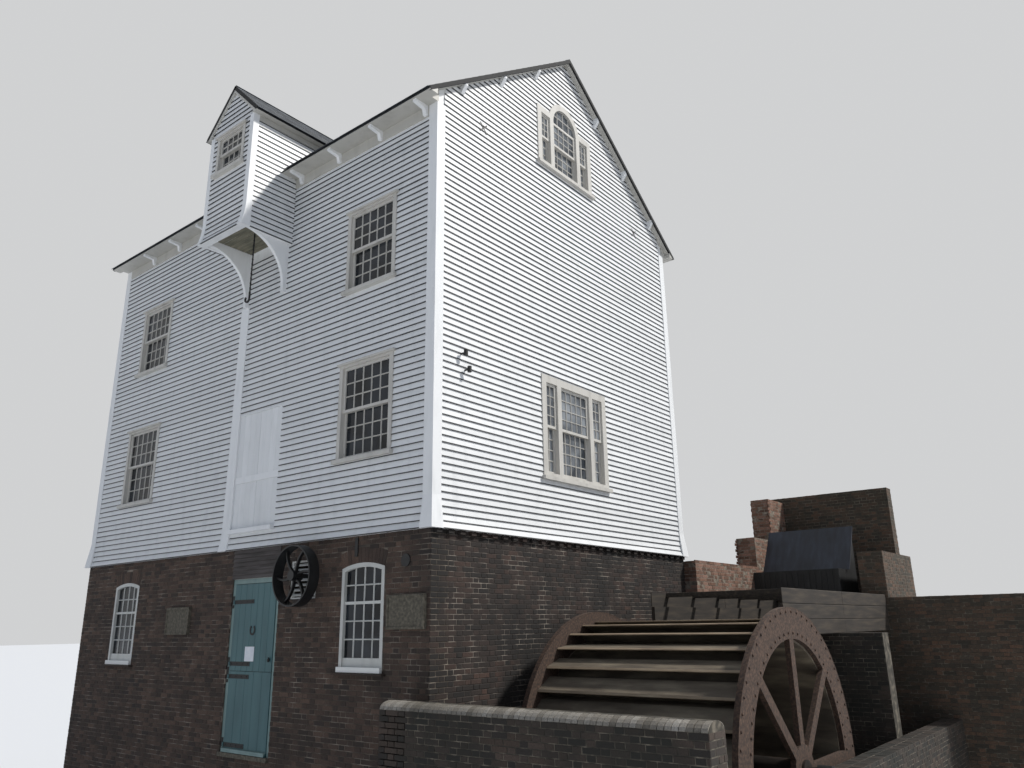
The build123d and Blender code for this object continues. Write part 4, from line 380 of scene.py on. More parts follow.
def brick_places(origin, side, length, height, holes=(), outline=None):
    """Where the bricks of one face of a wall go. Holes give spans to leave bare, and an outline its edge."""
    laid = []
    for course in range(math.ceil(height / COURSE)):
        foot = course * COURSE
        top = min(foot + COURSE - BRICK_JOINT, height)
        if top - foot < BRICK_JOINT:
            continue
        level = (foot + top) / 2
        gaps = [hole(level) for hole in holes]
        for span in course_bricks(length, course, course % 2 * (BRICK_LENGTH - BRICK_HEADER) / 2):
            spans = [span]
            for gap in gaps:
                spans = cut(spans, gap, LEAST_BRICK) if gap else spans
            for a, b in spans:
                if outline is None or outline((a + b) / 2, level):
                    place = origin + along(side) * ((a + b) / 2) + UP * level
                    laid.append((place, (b - a, 1.0, top - foot), (0.0, 0.0, SIDES[side])))
    return laid


def arc_radius(half, rise):
    """Radius of an arc, from half its width and its rise."""
    return (half * half + rise * rise) / (2 * rise)


def square_hole(low, high, foot, top):
    """A hole with square corners, in the face's own measures."""
    return lambda level: (low, high) if foot < level < top else None


def arched_hole(low, high, foot, crown, rise=ARCH_RISE):
    """A hole with a segmental head and the arch over it, in the face's own measures."""
    half = (high - low) / 2
    radius = arc_radius(half, rise)
    centre = crown - radius
    skew = half / (radius - rise)

    def gap(level):
        if not foot < level < crown + ARCH_HEIGHT:
            return None
        reach = half
        if level > crown - rise:
            outer = math.sqrt(max(0.0, (radius + ARCH_HEIGHT) ** 2 - (level - centre) ** 2))
            reach = min(outer, (level - centre) * skew)
        return (low + high) / 2 - reach, (low + high) / 2 + reach
    return gap


def arch_places(low, high, crown, rise=ARCH_RISE, face=0.0):
    """Where the bricks of a segmental arch on the front go, on edge and pointing at its centre."""
    half = (high - low) / 2
    radius = arc_radius(half, rise)
    spread = math.asin(half / radius)
    out = radius + ARCH_HEIGHT / 2
    count = max(3, round(2 * spread * out / (COURSE + BRICK_JOINT / 2)))
    size = (2 * spread * out / count - BRICK_JOINT * 0.7, 1.0, ARCH_HEIGHT)
    angles = [-spread + 2 * spread * (step + 0.5) / count for step in range(count)]
    return [spot((low + high) / 2 + out * math.sin(angle), face, crown - radius + out * math.cos(angle), size,
                 (0.0, angle, 0.0)) for angle in angles]


def top_places(low, high):
    """Where the bricks on the level top of a wall go, on edge and two to its thickness."""
    lengthways = high.x - low.x > high.y - low.y
    length, across = (high.x - low.x, high.y - low.y) if lengthways else (high.y - low.y, high.x - low.x)
    count = round(length / TOP_BRICK_PITCH)
    size = (length / count - BRICK_JOINT, 1.0, across / 2 - BRICK_JOINT)
    turn = (-QUARTER, 0.0, 0.0 if lengthways else QUARTER)
    laid = []
    for step in range(count):
        for half in (0.25, 0.75):
            run, cross = length * (step + 0.5) / count, across * half
            x, y = (run, cross) if lengthways else (cross, run)
            laid.append(spot(low.x + x, low.y + y, high.z, size, turn))
    return laid


def face_of(box, side):
    """Where one face of a box starts, at its left foot as one faces it, and how long it is."""
    low, high = box
    start = {"front": (low.x, low.y), "wheel": (high.x, low.y),
             "back": (high.x, high.y), "left": (low.x, high.y)}
    length = high.x - low.x if side in ("front", "back") else high.y - low.y
    return Vector((*start[side], low.z)), length


def wall_bricks(box, sides, holes=(), outlines=None, tops=False):
    """Where the bricks go on some faces of a box of masonry, and on its top."""
    laid = []
    for side in sides:
        start, length = face_of(box, side)
        laid += brick_places(start, side, length, box[1].z - box[0].z, holes, (outlines or {}).get(side))
    return laid + (top_places(*box) if tops else [])


def dentil_places(side):
    """Where the projecting headers of the dentil course go, under the foot of the boarding."""
    start, length = face_of(mill, side)
    count = round(length / DENTIL_PITCH)
    first = (length - (count - 1) * DENTIL_PITCH) / 2
    height = COURSE - BRICK_JOINT
    start += UP * (brick_top - height / 2) + outward(side) * (DENTIL_REACH - BRICK_PROUD)
    return [(start + along(side) * (first + step * DENTIL_PITCH), (BRICK_HEADER, DENTIL_DEPTH, height),
             (0.0, 0.0, SIDES[side])) for step in range(count)]


def solids_of(node):
    """Lowest and highest corner of each separate solid of a CAD node, in the order of its points."""
    solid = bmesh.new()
    solid.from_mesh(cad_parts[node].data)
    bmesh.ops.remove_doubles(solid, verts=solid.verts, dist=1e-5)
    left = dict.fromkeys(solid.verts)
    boxes = []
    while left:
        edge = [next(iter(left))]
        del left[edge[0]]
        low, high = edge[0].co.copy(), edge[0].co.copy()
        while edge:
            vertex = edge.pop()
            low = Vector(map(min, low, vertex.co))
            high = Vector(map(max, high, vertex.co))
            for link in vertex.link_edges:
                other = link.other_vert(vertex)
                if other in left:
                    del left[other]
                    edge.append(other)
        boxes.append((low, high))
    solid.free()
    return boxes


brick = pattern("brick", *brick_shape())
setting_out = setting_out_tree()
wall_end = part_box("front_wall_right")[1]
half_width, brick_top = wall_end.x, wall_end.z
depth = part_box("back_brick_wall")[1].y
mill = Vector((-half_width, 0, 0)), Vector((half_width, depth, brick_top))
door_low, door_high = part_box("door_frame")
window_frames = solids_of("window_frames")
ground_windows = [box for box in window_frames if box[1].z < brick_top]
vent_low, vent_high = [box for box in solids_of("louvres") if box[0].x > door_high.x][0]
front_holes = [
    square_hole(door_low.x + half_width, door_high.x + half_width, door_low.z - THRESHOLD, brick_top),
    square_hole(vent_low.x + half_width, vent_high.x + half_width, vent_low.z, vent_high.z)]
front_bricks = []
for low, high in ground_windows:
    front_holes.append(arched_hole(low.x + half_width, high.x + half_width, low.z, high.z))
    front_bricks += arch_places(low.x, high.x, high.z)
front_bricks += wall_bricks(mill, ("front",), front_holes)
front_clay = fired_clay("hand_made_brick", FRONT_BRICK_TONES, "#231F1D", 0.06)
sooted_clay = fired_clay("sooted_brick", SOOTED_BRICK_TONES, "#1A1817", 0.22)
lay("bricks_front_wall", front_bricks, front_clay, 11)
lay("bricks_back_wall", wall_bricks(mill, ("back",)), front_clay, 12)
lay("bricks_left_wall", wall_bricks(mill, ("left",)) + dentil_places("left"), front_clay, 13)
lay("bricks_wheel_side", wall_bricks(mill, ("wheel",)) + dentil_places("wheel"), sooted_clay, 14)
dress(lime_mortar("lime_mortar", ("#332E2A", "#544C43", "#968C7F"), 260),
      "front_wall_left", "front_wall_right", "door_footing", "back_brick_wall", "left_brick_wall")
dress(lime_mortar("sooted_mortar", ("#1D1B1A", "#453E39", "#A0968A"), 330), "wheel_side_brick_wall")

# The wheel pit: brick walls from the tail water up, in damp and dark brick, with a parapet to the
# street. Its round coping is of paler bricks laid on edge across the wall.
PIT_BRICK_TONES = ("#3A322C", "#4B3E35", "#554840", "#332D29", "#282523")
COPING_TONES = ("#8E877C", "#A29B90", "#B0AAA0", "#7C756A")
PARAPET_BACK = -0.16
COPING_HEIGHT = 0.09
COPING_BRICK = 0.075
COPING_SWELL = (1.03, 1.04)
COPING_SUNK = 0.004
COPING_TAIL = (0.9, -0.02)
TAIL_ARCH_HALF = 1.2
TAIL_ARCH_FOOT = -0.1
TAIL_ARCH_CROWN = 1.0
TAIL_ARCH_RISE = 0.5
pit_low, pit_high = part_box("pit_front_wall")
outer_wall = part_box("pit_outer_wall")
outer_top = outer_wall[1].z
wheel_low, wheel_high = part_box("wheel_sides")
tail_middle = (wheel_low.x + wheel_high.x) / 2
tail_left, tail_right = tail_middle - TAIL_ARCH_HALF, tail_middle + TAIL_ARCH_HALF
parapet_end = Vector((pit_high.x, PARAPET_BACK, pit_high.z - COPING_HEIGHT))
tail_arch = arched_hole(tail_left - pit_low.x, tail_right - pit_low.x, TAIL_ARCH_FOOT, TAIL_ARCH_CROWN,
                        TAIL_ARCH_RISE)
pit_bricks = wall_bricks((pit_low, Vector((pit_high.x, pit_high.y, parapet_end.z))), ("front",), [tail_arch])
pit_bricks += arch_places(tail_left, tail_right, TAIL_ARCH_CROWN, TAIL_ARCH_RISE, pit_low.y)
pit_bricks += wall_bricks((pit_low, parapet_end), ("wheel", "left"))
pit_bricks += wall_bricks((Vector((pit_low.x, PARAPET_BACK, outer_top)), parapet_end), ("back",))
pit_bricks += wall_bricks((Vector((pit_high.x, PARAPET_BACK, 0)), Vector((pit_high.x, 0, outer_top))),
                          ("wheel",))
pit_clay = fired_clay("damp_pit_brick", PIT_BRICK_TONES, "#1C1D19", 0.16)
lay("bricks_pit_front_wall", pit_bricks, pit_clay, 21, 0.004)
lay("bricks_pit_outer_wall", wall_bricks(outer_wall, ("wheel", "left"), tops=True), pit_clay, 22, 0.004)
lay("bricks_pit_back_wall", wall_bricks(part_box("pit_back_wall"), ("front", "back"), tops=True),
    pit_clay, 23, 0.004)
coping_half = (PARAPET_BACK - pit_low.y) / 2
coping_outline = [(COPING_SWELL[0] * coping_half * math.cos(angle),
                   COPING_SWELL[1] * COPING_HEIGHT * math.sin(angle) - COPING_SUNK)
                  for angle in [math.pi * step / 8 for step in range(9)]]
coping_outline += [(side * coping_half * COPING_TAIL[0], COPING_TAIL[1]) for side in (-1, 1)]
coping_brick = pattern("coping_brick", *prism(coping_outline))
coping_count = round((pit_high.x - pit_low.x) / COPING_BRICK)
coping_step = (pit_high.x - pit_low.x) / coping_count
coping_places = [spot(pit_low.x + coping_step * (at + 0.5), pit_low.y + coping_half, parapet_end.z,
                      (coping_step - 0.008, 1.0, 1.0)) for at in range(coping_count)]
coping_clay = fired_clay("weathered_coping_brick", COPING_TONES, "#5A554B", 0.05)
set_out("coping_bricks", coping_brick, coping_places, coping_clay, seed=24,
        lean=(0.01, 0.012, 0.006), back=0.004)
dress(lime_mortar("damp_mortar", ("#2C2A25", "#444038", "#787063")), "pit_front_wall", "pit_outer_wall",
      "pit_back_wall", "sluice_walls")

# The headworks: a wing wall that steps up to the head wall, a pier at the sluice, and the walls of
# the sluice itself, in rough red and brown bricks with weathered lime joints.
WING_BRICK_TONES = ("#7C5C4B", "#8F6B58", "#A07C6B", "#6B4F40", "#564237")
HEAD_BRICK_TONES = ("#50453A", "#5D4D3F", "#6D5443", "#403A31", "#564C40")
wing_low, wing_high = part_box("wing_wall")
wing_steps = ((10.4, 5.15), (11.5, 5.84), (wing_high.y, wing_high.z))


def wing_top(y):
    """Level of the stepped top of the wing wall."""
    return next(top for end, top in wing_steps if y <= end + 1e-4)


wing_bricks = wall_bricks((wing_low, wing_high), ("wheel", "left"), outlines={
    "wheel": lambda run, level: level < wing_top(wing_low.y + run),
    "left": lambda run, level: level < wing_top(wing_high.y - run)})
before, foot = wing_low.y, wing_steps[0][1]
wing_bricks += wall_bricks((Vector((half_width, before, 0)), Vector((wing_high.x, before, foot))), ("front",))
for end, top in wing_steps:
    step_box = Vector((wing_low.x, before, foot)), Vector((wing_high.x, end, top))
    wing_bricks += top_places(*step_box)
    if top > foot:
        wing_bricks += wall_bricks(step_box, ("front",))
    before, foot = end, top
sluice_bricks = []
for box in solids_of("sluice_walls"):
    sluice_bricks += wall_bricks(box, ("front", "back", "wheel"), tops=True)
head_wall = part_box("head_wall")
wing_clay = fired_clay("sunlit_red_brick", WING_BRICK_TONES, "#4A3A30", 0.0)
head_clay = fired_clay("mossy_brick", HEAD_BRICK_TONES, "#2E2B22", 0.08)
lay("bricks_wing_wall", wing_bricks, wing_clay, 31, 0.007, (0.014, 0.0, 0.01))
lay("bricks_head_wall", wall_bricks(head_wall, ("front", "wheel", "back", "left")), head_clay, 32, 0.005)
lay("head_wall_top_bricks", top_places(*head_wall), coping_clay, 36, 0.006, (0.02, 0.0, 0.01))
lay("bricks_right_pier", wall_bricks(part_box("right_pier"), ("front", "wheel", "left"), tops=True),
    head_clay, 33, 0.005)
lay("bricks_sluice_walls", sluice_bricks, head_clay, 34, 0.005)
dress(lime_mortar("weathered_mortar", ("#544B41", "#7A6F62", "#9C9183")), "wing_wall")
dress(lime_mortar("mossy_mortar", ("#3B382F", "#565146", "#7A7264")), "head_wall", "right_pier")

# The dressed stone: two plaques let into the front, the threshold and the ledge on the wing wall.
# It is gritty, blotched sandstone, and each plaque has a moulded border worked on its face.
PLAQUE_BORDER = 0.04
PLAQUE_LEAST_HEIGHT = 0.3
sandstone = worn("dressed_sandstone", ("#46423A", "#5B564B", "#746E60"), 45, 0.9, 0.004)


def eased(back, edge, face, shoulder):
    """Section of a board, a strap or a border a metre wide, whose edges fall away beyond its shoulders."""
    return [(back, -0.5), (-edge, -0.5), (-face, -shoulder), (-face, shoulder), (-edge, 0.5), (back, 0.5)]


border = pattern("plaque_border", *prism(eased(0.002, 0.008, 0.014, 0.2)))
border_places = []
for low, high in solids_of("stonework"):
    if high.y < 0.01 and high.z - low.z > PLAQUE_LEAST_HEIGHT:
        middle, half = (low + high) / 2, PLAQUE_BORDER / 2
        border_places += [spot(middle.x, low.y, level, (high.x - low.x, 1.0, PLAQUE_BORDER))
                          for level in (low.z + half, high.z - half)]
        border_places += [spot(across, low.y, middle.z, (high.z - low.z, 1.0, PLAQUE_BORDER), UPRIGHT)
                          for across in (low.x + half, high.x - half)]
set_out("plaque_borders", border, border_places, sandstone, seed=35)
dress(sandstone, "stonework")

# The weatherboarding: feather-edged softwood boards with white oil paint, each lapped over the one
# below and nailed to the studs. They start at the brickwork with a kick outward and are butted at
# the corner boards and the window frames.
BOARD_PITCH = 0.100
BOARD_LAP = 0.020
BOARD_BUTT = 0.026
BOARD_FEATHER = 0.005
BOARD_UNEVENNESS = 0.006
BOARD_STEP = 0.45
BOARD_LENGTH = 3.6
LEAST_BOARD = 0.02
LEAST_STRIP = 0.004
LEAST_OFFCUT = 0.05
FLARE = 0.055
FLARE_HEIGHT = 0.45
CORNER = 0.15
SILL_HORN = 0.0375
WALL_ZONE = 0.3
ARCHED_SIDE_LIGHTS = 1.27
ARCH_SPRING = 0.1
ARCH_STEP = 0.05
UNDER_FRAME = 0.03
BRACKET_FOOT = 9.68
BRACKET_SPANS = ((0.06, 0.13), (1.19, 1.26))
HOIST_SPAN = (0.0, 1.32)
ROOF_PITCH = math.radians(36.5)
SLOPE = math.tan(ROOF_PITCH)
RIDGE_TOP = 14.87
VERGE_DROP = 0.055
GABLE_BOARDS_TOP = RIDGE_TOP - 0.12
BOARD_WHITE = "#ECEDED"
BOARD_GRIME = "#B3B6B6"
# The colour of the painted shade under each lap of the weatherboarding.
LAP_SHADE = "#1B1D21"
BOARD_TONE_SHARE = 0.22


def oil_paint(name, colour, grime, roughness=0.45, worn_share=0.3, lap=None, below=None):
    """Oil paint on planed softwood: soft gloss over faint grain, greyed by rain, and painted shade at the
    foot of each lap when a lap colour is given.
    """
    material, tree, shader = finish(name, roughness)
    tone = add(tree, "ShaderNodeAttribute", {"attribute_name": "tone"}).outputs["Fac"]
    dirt = add(tree, "ShaderNodeValToRGB", {
        "stops": ((0.5, "#000000"), (0.8, "#FFFFFF")),
        0: patches(tree, 340, 7.0, (2.0, 2.0, 0.5))}).outputs[0]
    coats = [(add(tree, "ShaderNodeMath", {"operation": "MULTIPLY", 0: share, 1: most}).outputs[0], grime)
             for share, most in ((tone, BOARD_TONE_SHARE), (dirt, worn_share))]
    if lap:
        # Painted shade: the foot of each board's face and its underside are darkened to the lap colour, as
        # the shade under the board's butt.
        edge = add(tree, "ShaderNodeAttribute", {"attribute_name": "foot"}).outputs["Fac"]
        under = add(tree, "ShaderNodeValToRGB", {"stops": ((0.87, "#000000"), (0.905, "#FFFFFF")), 0: edge})
        coats.append((under.outputs[0], lap))
    if below:
        place = add(tree, "ShaderNodeTexCoord").outputs["Object"]
        level = add(tree, "ShaderNodeSeparateXYZ", {0: place}).outputs["Z"]
        under = add(tree, "ShaderNodeMath", {"operation": "LESS_THAN", 0: level, 1: below[0]})
        coats.append((under.outputs[0], below[1]))
    paint = colour
    for share, coat in coats:
        paint = add(tree, "ShaderNodeMix", {"data_type": "RGBA", 0: share, 6: paint, 7: coat}).outputs[2]
    surface(tree, shader, paint, patches(tree, 16, 4.0, (0.12, 0.12, 3.0)), 0.2, 0.0015)
    return material


def weatherboard_tree():
    """Gives strips of board their thickness, thin at the top and thick and a little wavy at the foot."""
    tree, given = geometry_tree("weatherboarding", (
        ("Strips", "Geometry", None), ("Butt", "Float", BOARD_BUTT), ("Feather", "Float", BOARD_FEATHER),
        ("Unevenness", "Float", BOARD_UNEVENNESS), ("Paint", "Material", None)), "Boards")
    away, foot = [add(tree, "GeometryNodeInputNamedAttribute", {"data_type": kind, "Name": label}).outputs[0]
                  for kind, label in (("FLOAT_VECTOR", "away"), ("FLOAT", "foot"))]
    thin = add(tree, "ShaderNodeVectorMath", {
        "operation": "SCALE", 0: away, "Scale": given["Feather"]}).outputs[0]
    raised = add(tree, "GeometryNodeExtrudeMesh", {
        "mode": "FACES", "Individual": False, "Mesh": given["Strips"], "Offset": thin}).outputs
    under = add(tree, "GeometryNodeFlipFaces", {"Mesh": given["Strips"]}).outputs[0]
    ripple = add(tree, "ShaderNodeTexNoise", {"Scale": 0.9, "Detail": 3.0}).outputs["Fac"]
    swing = add(tree, "ShaderNodeMath", {"operation": "SUBTRACT", 0: ripple, 1: 0.5}).outputs[0]
    swing = add(tree, "ShaderNodeMath", {
        "operation": "MULTIPLY", 0: swing, 1: given["Unevenness"]}).outputs[0]
    lead = add(tree, "ShaderNodeMath", {
        "operation": "SUBTRACT", 0: given["Butt"], 1: given["Feather"]}).outputs[0]
    lead = add(tree, "ShaderNodeMath", {"operation": "ADD", 0: lead, 1: swing}).outputs[0]
    lead = add(tree, "ShaderNodeMath", {"operation": "MULTIPLY", 0: lead, 1: foot}).outputs[0]
    shift = add(tree, "ShaderNodeVectorMath", {"operation": "SCALE", 0: away, "Scale": lead}).outputs[0]
    kicked = add(tree, "GeometryNodeSetPosition", {
        "Geometry": raised["Mesh"], "Selection": raised["Top"], "Offset": shift}).outputs[0]
    closed = add(tree, "GeometryNodeJoinGeometry")
    tree.links.new(kicked, closed.inputs[0])
    tree.links.new(under, closed.inputs[0])
    welded = add(tree, "GeometryNodeMergeByDistance", {
        "Distance": 0.0001, "Geometry": closed.outputs[0]}).outputs[0]
    real = add(tree, "GeometryNodeRealizeInstances", {"Geometry": welded}).outputs[0]
    painted = add(tree, "GeometryNodeSetMaterial", {"Geometry": real, "Material": given["Paint"]}).outputs[0]
    add(tree, "NodeGroupOutput", {"Boards": painted})
    return tree


def kick(level, foot, most):
    """How far the wall behind the boards leans out near its foot."""
    rise = min(max(level - foot, 0.0) / FLARE_HEIGHT, 1.0)
    return most * (1 - math.sqrt(max(0.0, 1 - (1 - rise) ** 2)))


def board_strips(origin, side, ends, foot, top, openings=(), flare=FLARE):
    """The boards of one wall in courses between its openings, each strip with its foot marks and tone."""
    chooser = random.Random(side + str(round(foot, 2)))
    points, faces, feet, tones = [], [], [], []
    level = foot
    while level < top - 0.01:
        upper = min(level + BOARD_PITCH + BOARD_LAP, top)
        show = min(level + BOARD_PITCH, top)
        inner = {z for o in openings for z in o[2:] if level + LEAST_STRIP < z < show - LEAST_STRIP}
        cuts = sorted({level, upper} | inner)
        first, last = ends(level)
        joints = [first]
        while joints[-1] < last:
            joints.append(joints[-1] + BOARD_LENGTH * chooser.uniform(0.55, 1.0))
        for foot_z, top_z in zip(cuts, cuts[1:]):
            middle = (foot_z + min(top_z, show)) / 2
            runs = [ends(foot_z)]
            for o in openings:
                if o[2] < middle < o[3]:
                    runs = cut(runs, o, LEAST_BOARD)
            for a, b in runs:
                stops = [a] + [j for j in joints if a + LEAST_OFFCUT < j < b - LEAST_OFFCUT] + [b]
                for start, end in zip(stops, stops[1:]):
                    tone = chooser.random()
                    count = max(1, round((end - start) / BOARD_STEP))
                    base = len(points)
                    for at in range(count + 1):
                        across = start + (end - start) * at / count
                        under_roof = min(max(across, ends(top_z)[0]), ends(top_z)[1])
                        for z, run in ((foot_z, across), (top_z, under_roof)):
                            out = outward(side) * kick(z, foot, flare)
                            points.append(origin + along(side) * run + UP * z + out)
                            feet.append((upper - z) / (upper - level))
                            tones.append(tone)
                    faces += [(base + 2 * at, base + 2 * at + 2, base + 2 * at + 3, base + 2 * at + 1)
                              for at in range(count)]
        level += BOARD_PITCH
    return points, faces, feet, tones, [outward(side)] * len(points)


def clad(name, *walls):
    """Boards one or more walls and keeps the boards as one piece."""
    points, faces, feet, tones, away = [], [], [], [], []
    for wall in walls:
        faces += [tuple(corner + len(points) for corner in face) for face in wall[1]]
        for kept, more in ((points, wall[0]), (feet, wall[2]), (tones, wall[3]), (away, wall[4])):
            kept += more
    mesh = mesh_of(name, points, faces)
    for label, values in (("foot", feet), ("tone", tones)):
        mesh.attributes.new(label, "FLOAT", "POINT").data.foreach_set("value", values)
    layer = mesh.attributes.new("away", "FLOAT_VECTOR", "POINT")
    layer.data.foreach_set("vector", [share for way in away for share in way])
    boards = grown(name, mesh, weatherboarding, {"Paint": board_paint})
    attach(boards, "building")


def arched_opening(low, high, foot, top):
    """The openings of a three-light window with a round middle light: its lights, and its arch in steps."""
    level = foot + ARCHED_SIDE_LIGHTS
    found = [(low, high, foot, level)]
    middle, spring = (low + high) / 2, level - ARCH_SPRING
    while level < top - 0.01:
        height = min(level + ARCH_STEP / 2, top - 0.005) - spring
        reach = math.sqrt((top - spring) ** 2 - height ** 2) - UNDER_FRAME
        if reach > 0:
            found.append((middle - reach, middle + reach, level, min(level + ARCH_STEP, top)))
        level += ARCH_STEP
    return found


def openings_of(side):
    """Openings for the windows of one boarded wall, in the wall's own measures."""
    found = []
    for low, high in window_frames:
        middle = (low + high) / 2
        near = {"front": -0.2 < low.y and middle.y < WALL_ZONE, "back": middle.y > depth - WALL_ZONE,
                "wheel": middle.x > half_width - WALL_ZONE, "left": middle.x < WALL_ZONE - half_width}
        if low.z > brick_top and near[side]:
            left, right = {"front": (low.x, high.x), "back": (-high.x, -low.x), "wheel": (low.y, high.y),
                           "left": (depth - high.y, depth - low.y)}[side]
            opening = left + SILL_HORN, right - SILL_HORN, low.z, high.z
            arched = side in ("wheel", "left") and low.z > frieze_foot
            found += arched_opening(*opening) if arched else [opening]
    return found


def gable_ends(level):
    """Ends of a gable board at a level, at the corner boards or under the roof's slopes."""
    low = max(CORNER, depth / 2 - (RIDGE_TOP - VERGE_DROP - level) / SLOPE)
    return low, depth - low


def wall_ends(level):
    """Ends of a board on the front or the back, between the corner boards."""
    return CORNER - half_width, half_width - CORNER


weatherboarding = weatherboard_tree()
board_paint = oil_paint("white_oil_paint", BOARD_WHITE, BOARD_GRIME, lap=LAP_SHADE)
trim_paint = oil_paint("white_trim_paint", BOARD_WHITE, BOARD_GRIME)
frieze_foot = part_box("eaves_boxing")[0].z
hoist_low, hoist_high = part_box("hoist_housing")
loading_low, loading_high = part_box("loading_doors")
post_low, post_high = [box for box in solids_of("hoist_brackets") if box[0].x < 0][0]
front_openings = openings_of("front") + [
    (loading_low.x, loading_high.x, loading_low.z, loading_high.z),
    (post_low.x, post_high.x, brick_top - 0.1, BRACKET_FOOT), (*HOIST_SPAN, hoist_low.z, hoist_high.z)]
front_openings += [(*span, BRACKET_FOOT, hoist_low.z + 0.16) for span in BRACKET_SPANS]
for side, y, openings in (("front", 0, front_openings), ("back", depth, openings_of("back"))):
    clad(f"boards_{side}_wall",
         board_strips(Vector((0, y, 0)), side, wall_ends, brick_top, frieze_foot, openings))
for side in ("wheel", "left"):
    start = face_of(mill, side)[0]
    clad(f"boards_{side}_gable",
         board_strips(start, side, gable_ends, brick_top, GABLE_BOARDS_TOP, openings_of(side)))

# The hoist housing's boarding: the same boards on its front and its two cheeks, which run back to
# the wall and up over the roof's slope, between narrow corner boards.
HOIST_FACE = -0.98
HOIST_CORNER = 0.09
HOIST_SOFFIT = 12.82
HOIST_FLARE = 0.08
HOIST_BOARDS_TOP = 13.5
HOIST_BOARDS_PEAK = 13.59
CHEEK_TOP = 12.72
LEAST_REACH = 0.02
EAVES_TIP = 11.94
EAVES_OVERHANG = 0.335
ROOF_COVER = 0.04
hoist_middle = sum(HOIST_SPAN) / 2
sash_low, sash_high = [box for box in window_frames if box[0].y < -0.5][0]
hoist_opening = sash_low.x + SILL_HORN, sash_high.x - SILL_HORN, sash_low.z, sash_high.z
cheek_front = HOIST_FACE + HOIST_CORNER


def cheek_back(level):
    """Where a cheek ends: at the front wall, and above the eaves at the roof's slope."""
    return max(0.0, (level - EAVES_TIP + 2 * ROOF_COVER) / SLOPE - EAVES_OVERHANG)


def hoist_front_ends(level):
    """Ends of a board on the housing's front, at the corner boards or under the gable's slopes."""
    reach = hoist_middle - HOIST_CORNER
    if level >= HOIST_SOFFIT:
        reach = max(min(hoist_middle - LEAST_REACH, HOIST_BOARDS_PEAK - level), LEAST_REACH)
    return hoist_middle - reach, hoist_middle + reach


clad("boards_hoist_housing",
     board_strips(Vector((0, HOIST_FACE, 0)), "front", hoist_front_ends, hoist_low.z, HOIST_BOARDS_TOP,
                  [hoist_opening], HOIST_FLARE),
     board_strips(Vector((HOIST_SPAN[1], 0, 0)), "wheel", lambda level: (cheek_front, cheek_back(level)),
                  hoist_low.z, CHEEK_TOP, flare=0.0),
     board_strips(Vector((HOIST_SPAN[0], 0, 0)), "left", lambda level: (-cheek_back(level), -cheek_front),
                  hoist_low.z, CHEEK_TOP, flare=0.0))
dress(board_paint, "front_boarding_left", "front_boarding_right", "front_boarding_middle", "back_boarding",
      "wheel_side_gable", "left_gable", "hoist_housing")
dress(trim_paint, "corner_boards", "hoist_brackets", "eaves_brackets")
# The eaves boxing is a darker grey than the boards: painted shade under the eaves, with patches of dirt.
dress(oil_paint("eaves_paint_with_painted_shade", "#BDBBB4", "#8B887F", 0.5, 0.35), "eaves_boxing")

# The underside of the hoist housing: bare softwood boards gone brown and green, nailed across the
# joists with narrow gaps between them.
PLANK = 0.118
PLANK_GAP = 0.006
PLANK_LENGTH = 1.05
PLANKS = 7
FIRST_PLANK = -0.06
UNDERSIDE = 10.7505
plank = pattern("plank", *prism(eased(0.0, 0.006, 0.009, 0.47)))
mossy_boards = worn("mossy_softwood", ("#5C5B4F", "#757261", "#8C8674"), 60, 0.85, 0.002, (0.15, 1.0, 1.0))
underside = [spot(hoist_middle, FIRST_PLANK - PLANK * (step + 0.5), UNDERSIDE,
                  (PLANK_LENGTH, 1.0, PLANK - PLANK_GAP), (QUARTER, 0.0, 0.0)) for step in range(PLANKS)]
set_out("hoist_floor_boards", plank, underside, mossy_boards, seed=41, lean=(0.0, 0.004, 0.0))

# The roof: blue-grey riven slates nailed to battens, each row over the joints of the one below, from
# the eaves up to the ridge. Near-black strips close their edges over both gables and the hoist's front:
# the dark slate edges, with painted shade for the shadow under the overhanging slates.
SLATE_WIDTH = 0.26
SLATE_GAUGE = 0.215
SLATE_LENGTH = 0.27
SLATE_THICKNESS = 0.007
SLATE_GAP = 0.004
SLATE_DROP = 0.012
SLATE_TILT = 0.03
LEAST_SLATE = 0.03
SLATE_TONES = ("#34383E", "#454A51", "#565B61", "#3C3F42")
HOIST_PITCH = math.pi / 4
HOIST_COVERS = 0.03
HOIST_VALLEY = 0.1
VERGE_PROUD = 0.006
VERGE_HALF = 0.020
VERGE_TOP = 0.010
VERGE_FOOT = 0.058
VERGE_ARRIS = 0.004


def slate_places(x, y, z, turn, length, rise, pitch, keep=lambda across, up: True):
    """Where the slates of one slope go, from its lower left corner as one faces it."""
    run = Vector((math.cos(turn), math.sin(turn), 0))
    up = Vector((-math.sin(turn) * math.cos(pitch), math.cos(turn) * math.cos(pitch), math.sin(pitch)))
    corner = Vector((x, y, z)) - up * SLATE_DROP - up.cross(run) * SLATE_GAP
    rows, count = math.ceil(rise / SLATE_GAUGE), round(length / SLATE_WIDTH)
    width = length / count
    laid = []
    for row in range(rows):
        middle = (row + 0.5) * rise / rows
        shift = row % 2 / 2
        for step in range(count + row % 2):
            low, high = max(0.0, (step - shift) * width), min(length, (step + 1 - shift) * width)
            if high - low >= LEAST_SLATE and keep((low + high) / 2, middle):
                laid.append((corner + run * ((low + high) / 2) + up * middle,
                             (high - low - SLATE_GAP, SLATE_LENGTH, 1.0), (pitch - SLATE_TILT, 0.0, turn)))
    return laid


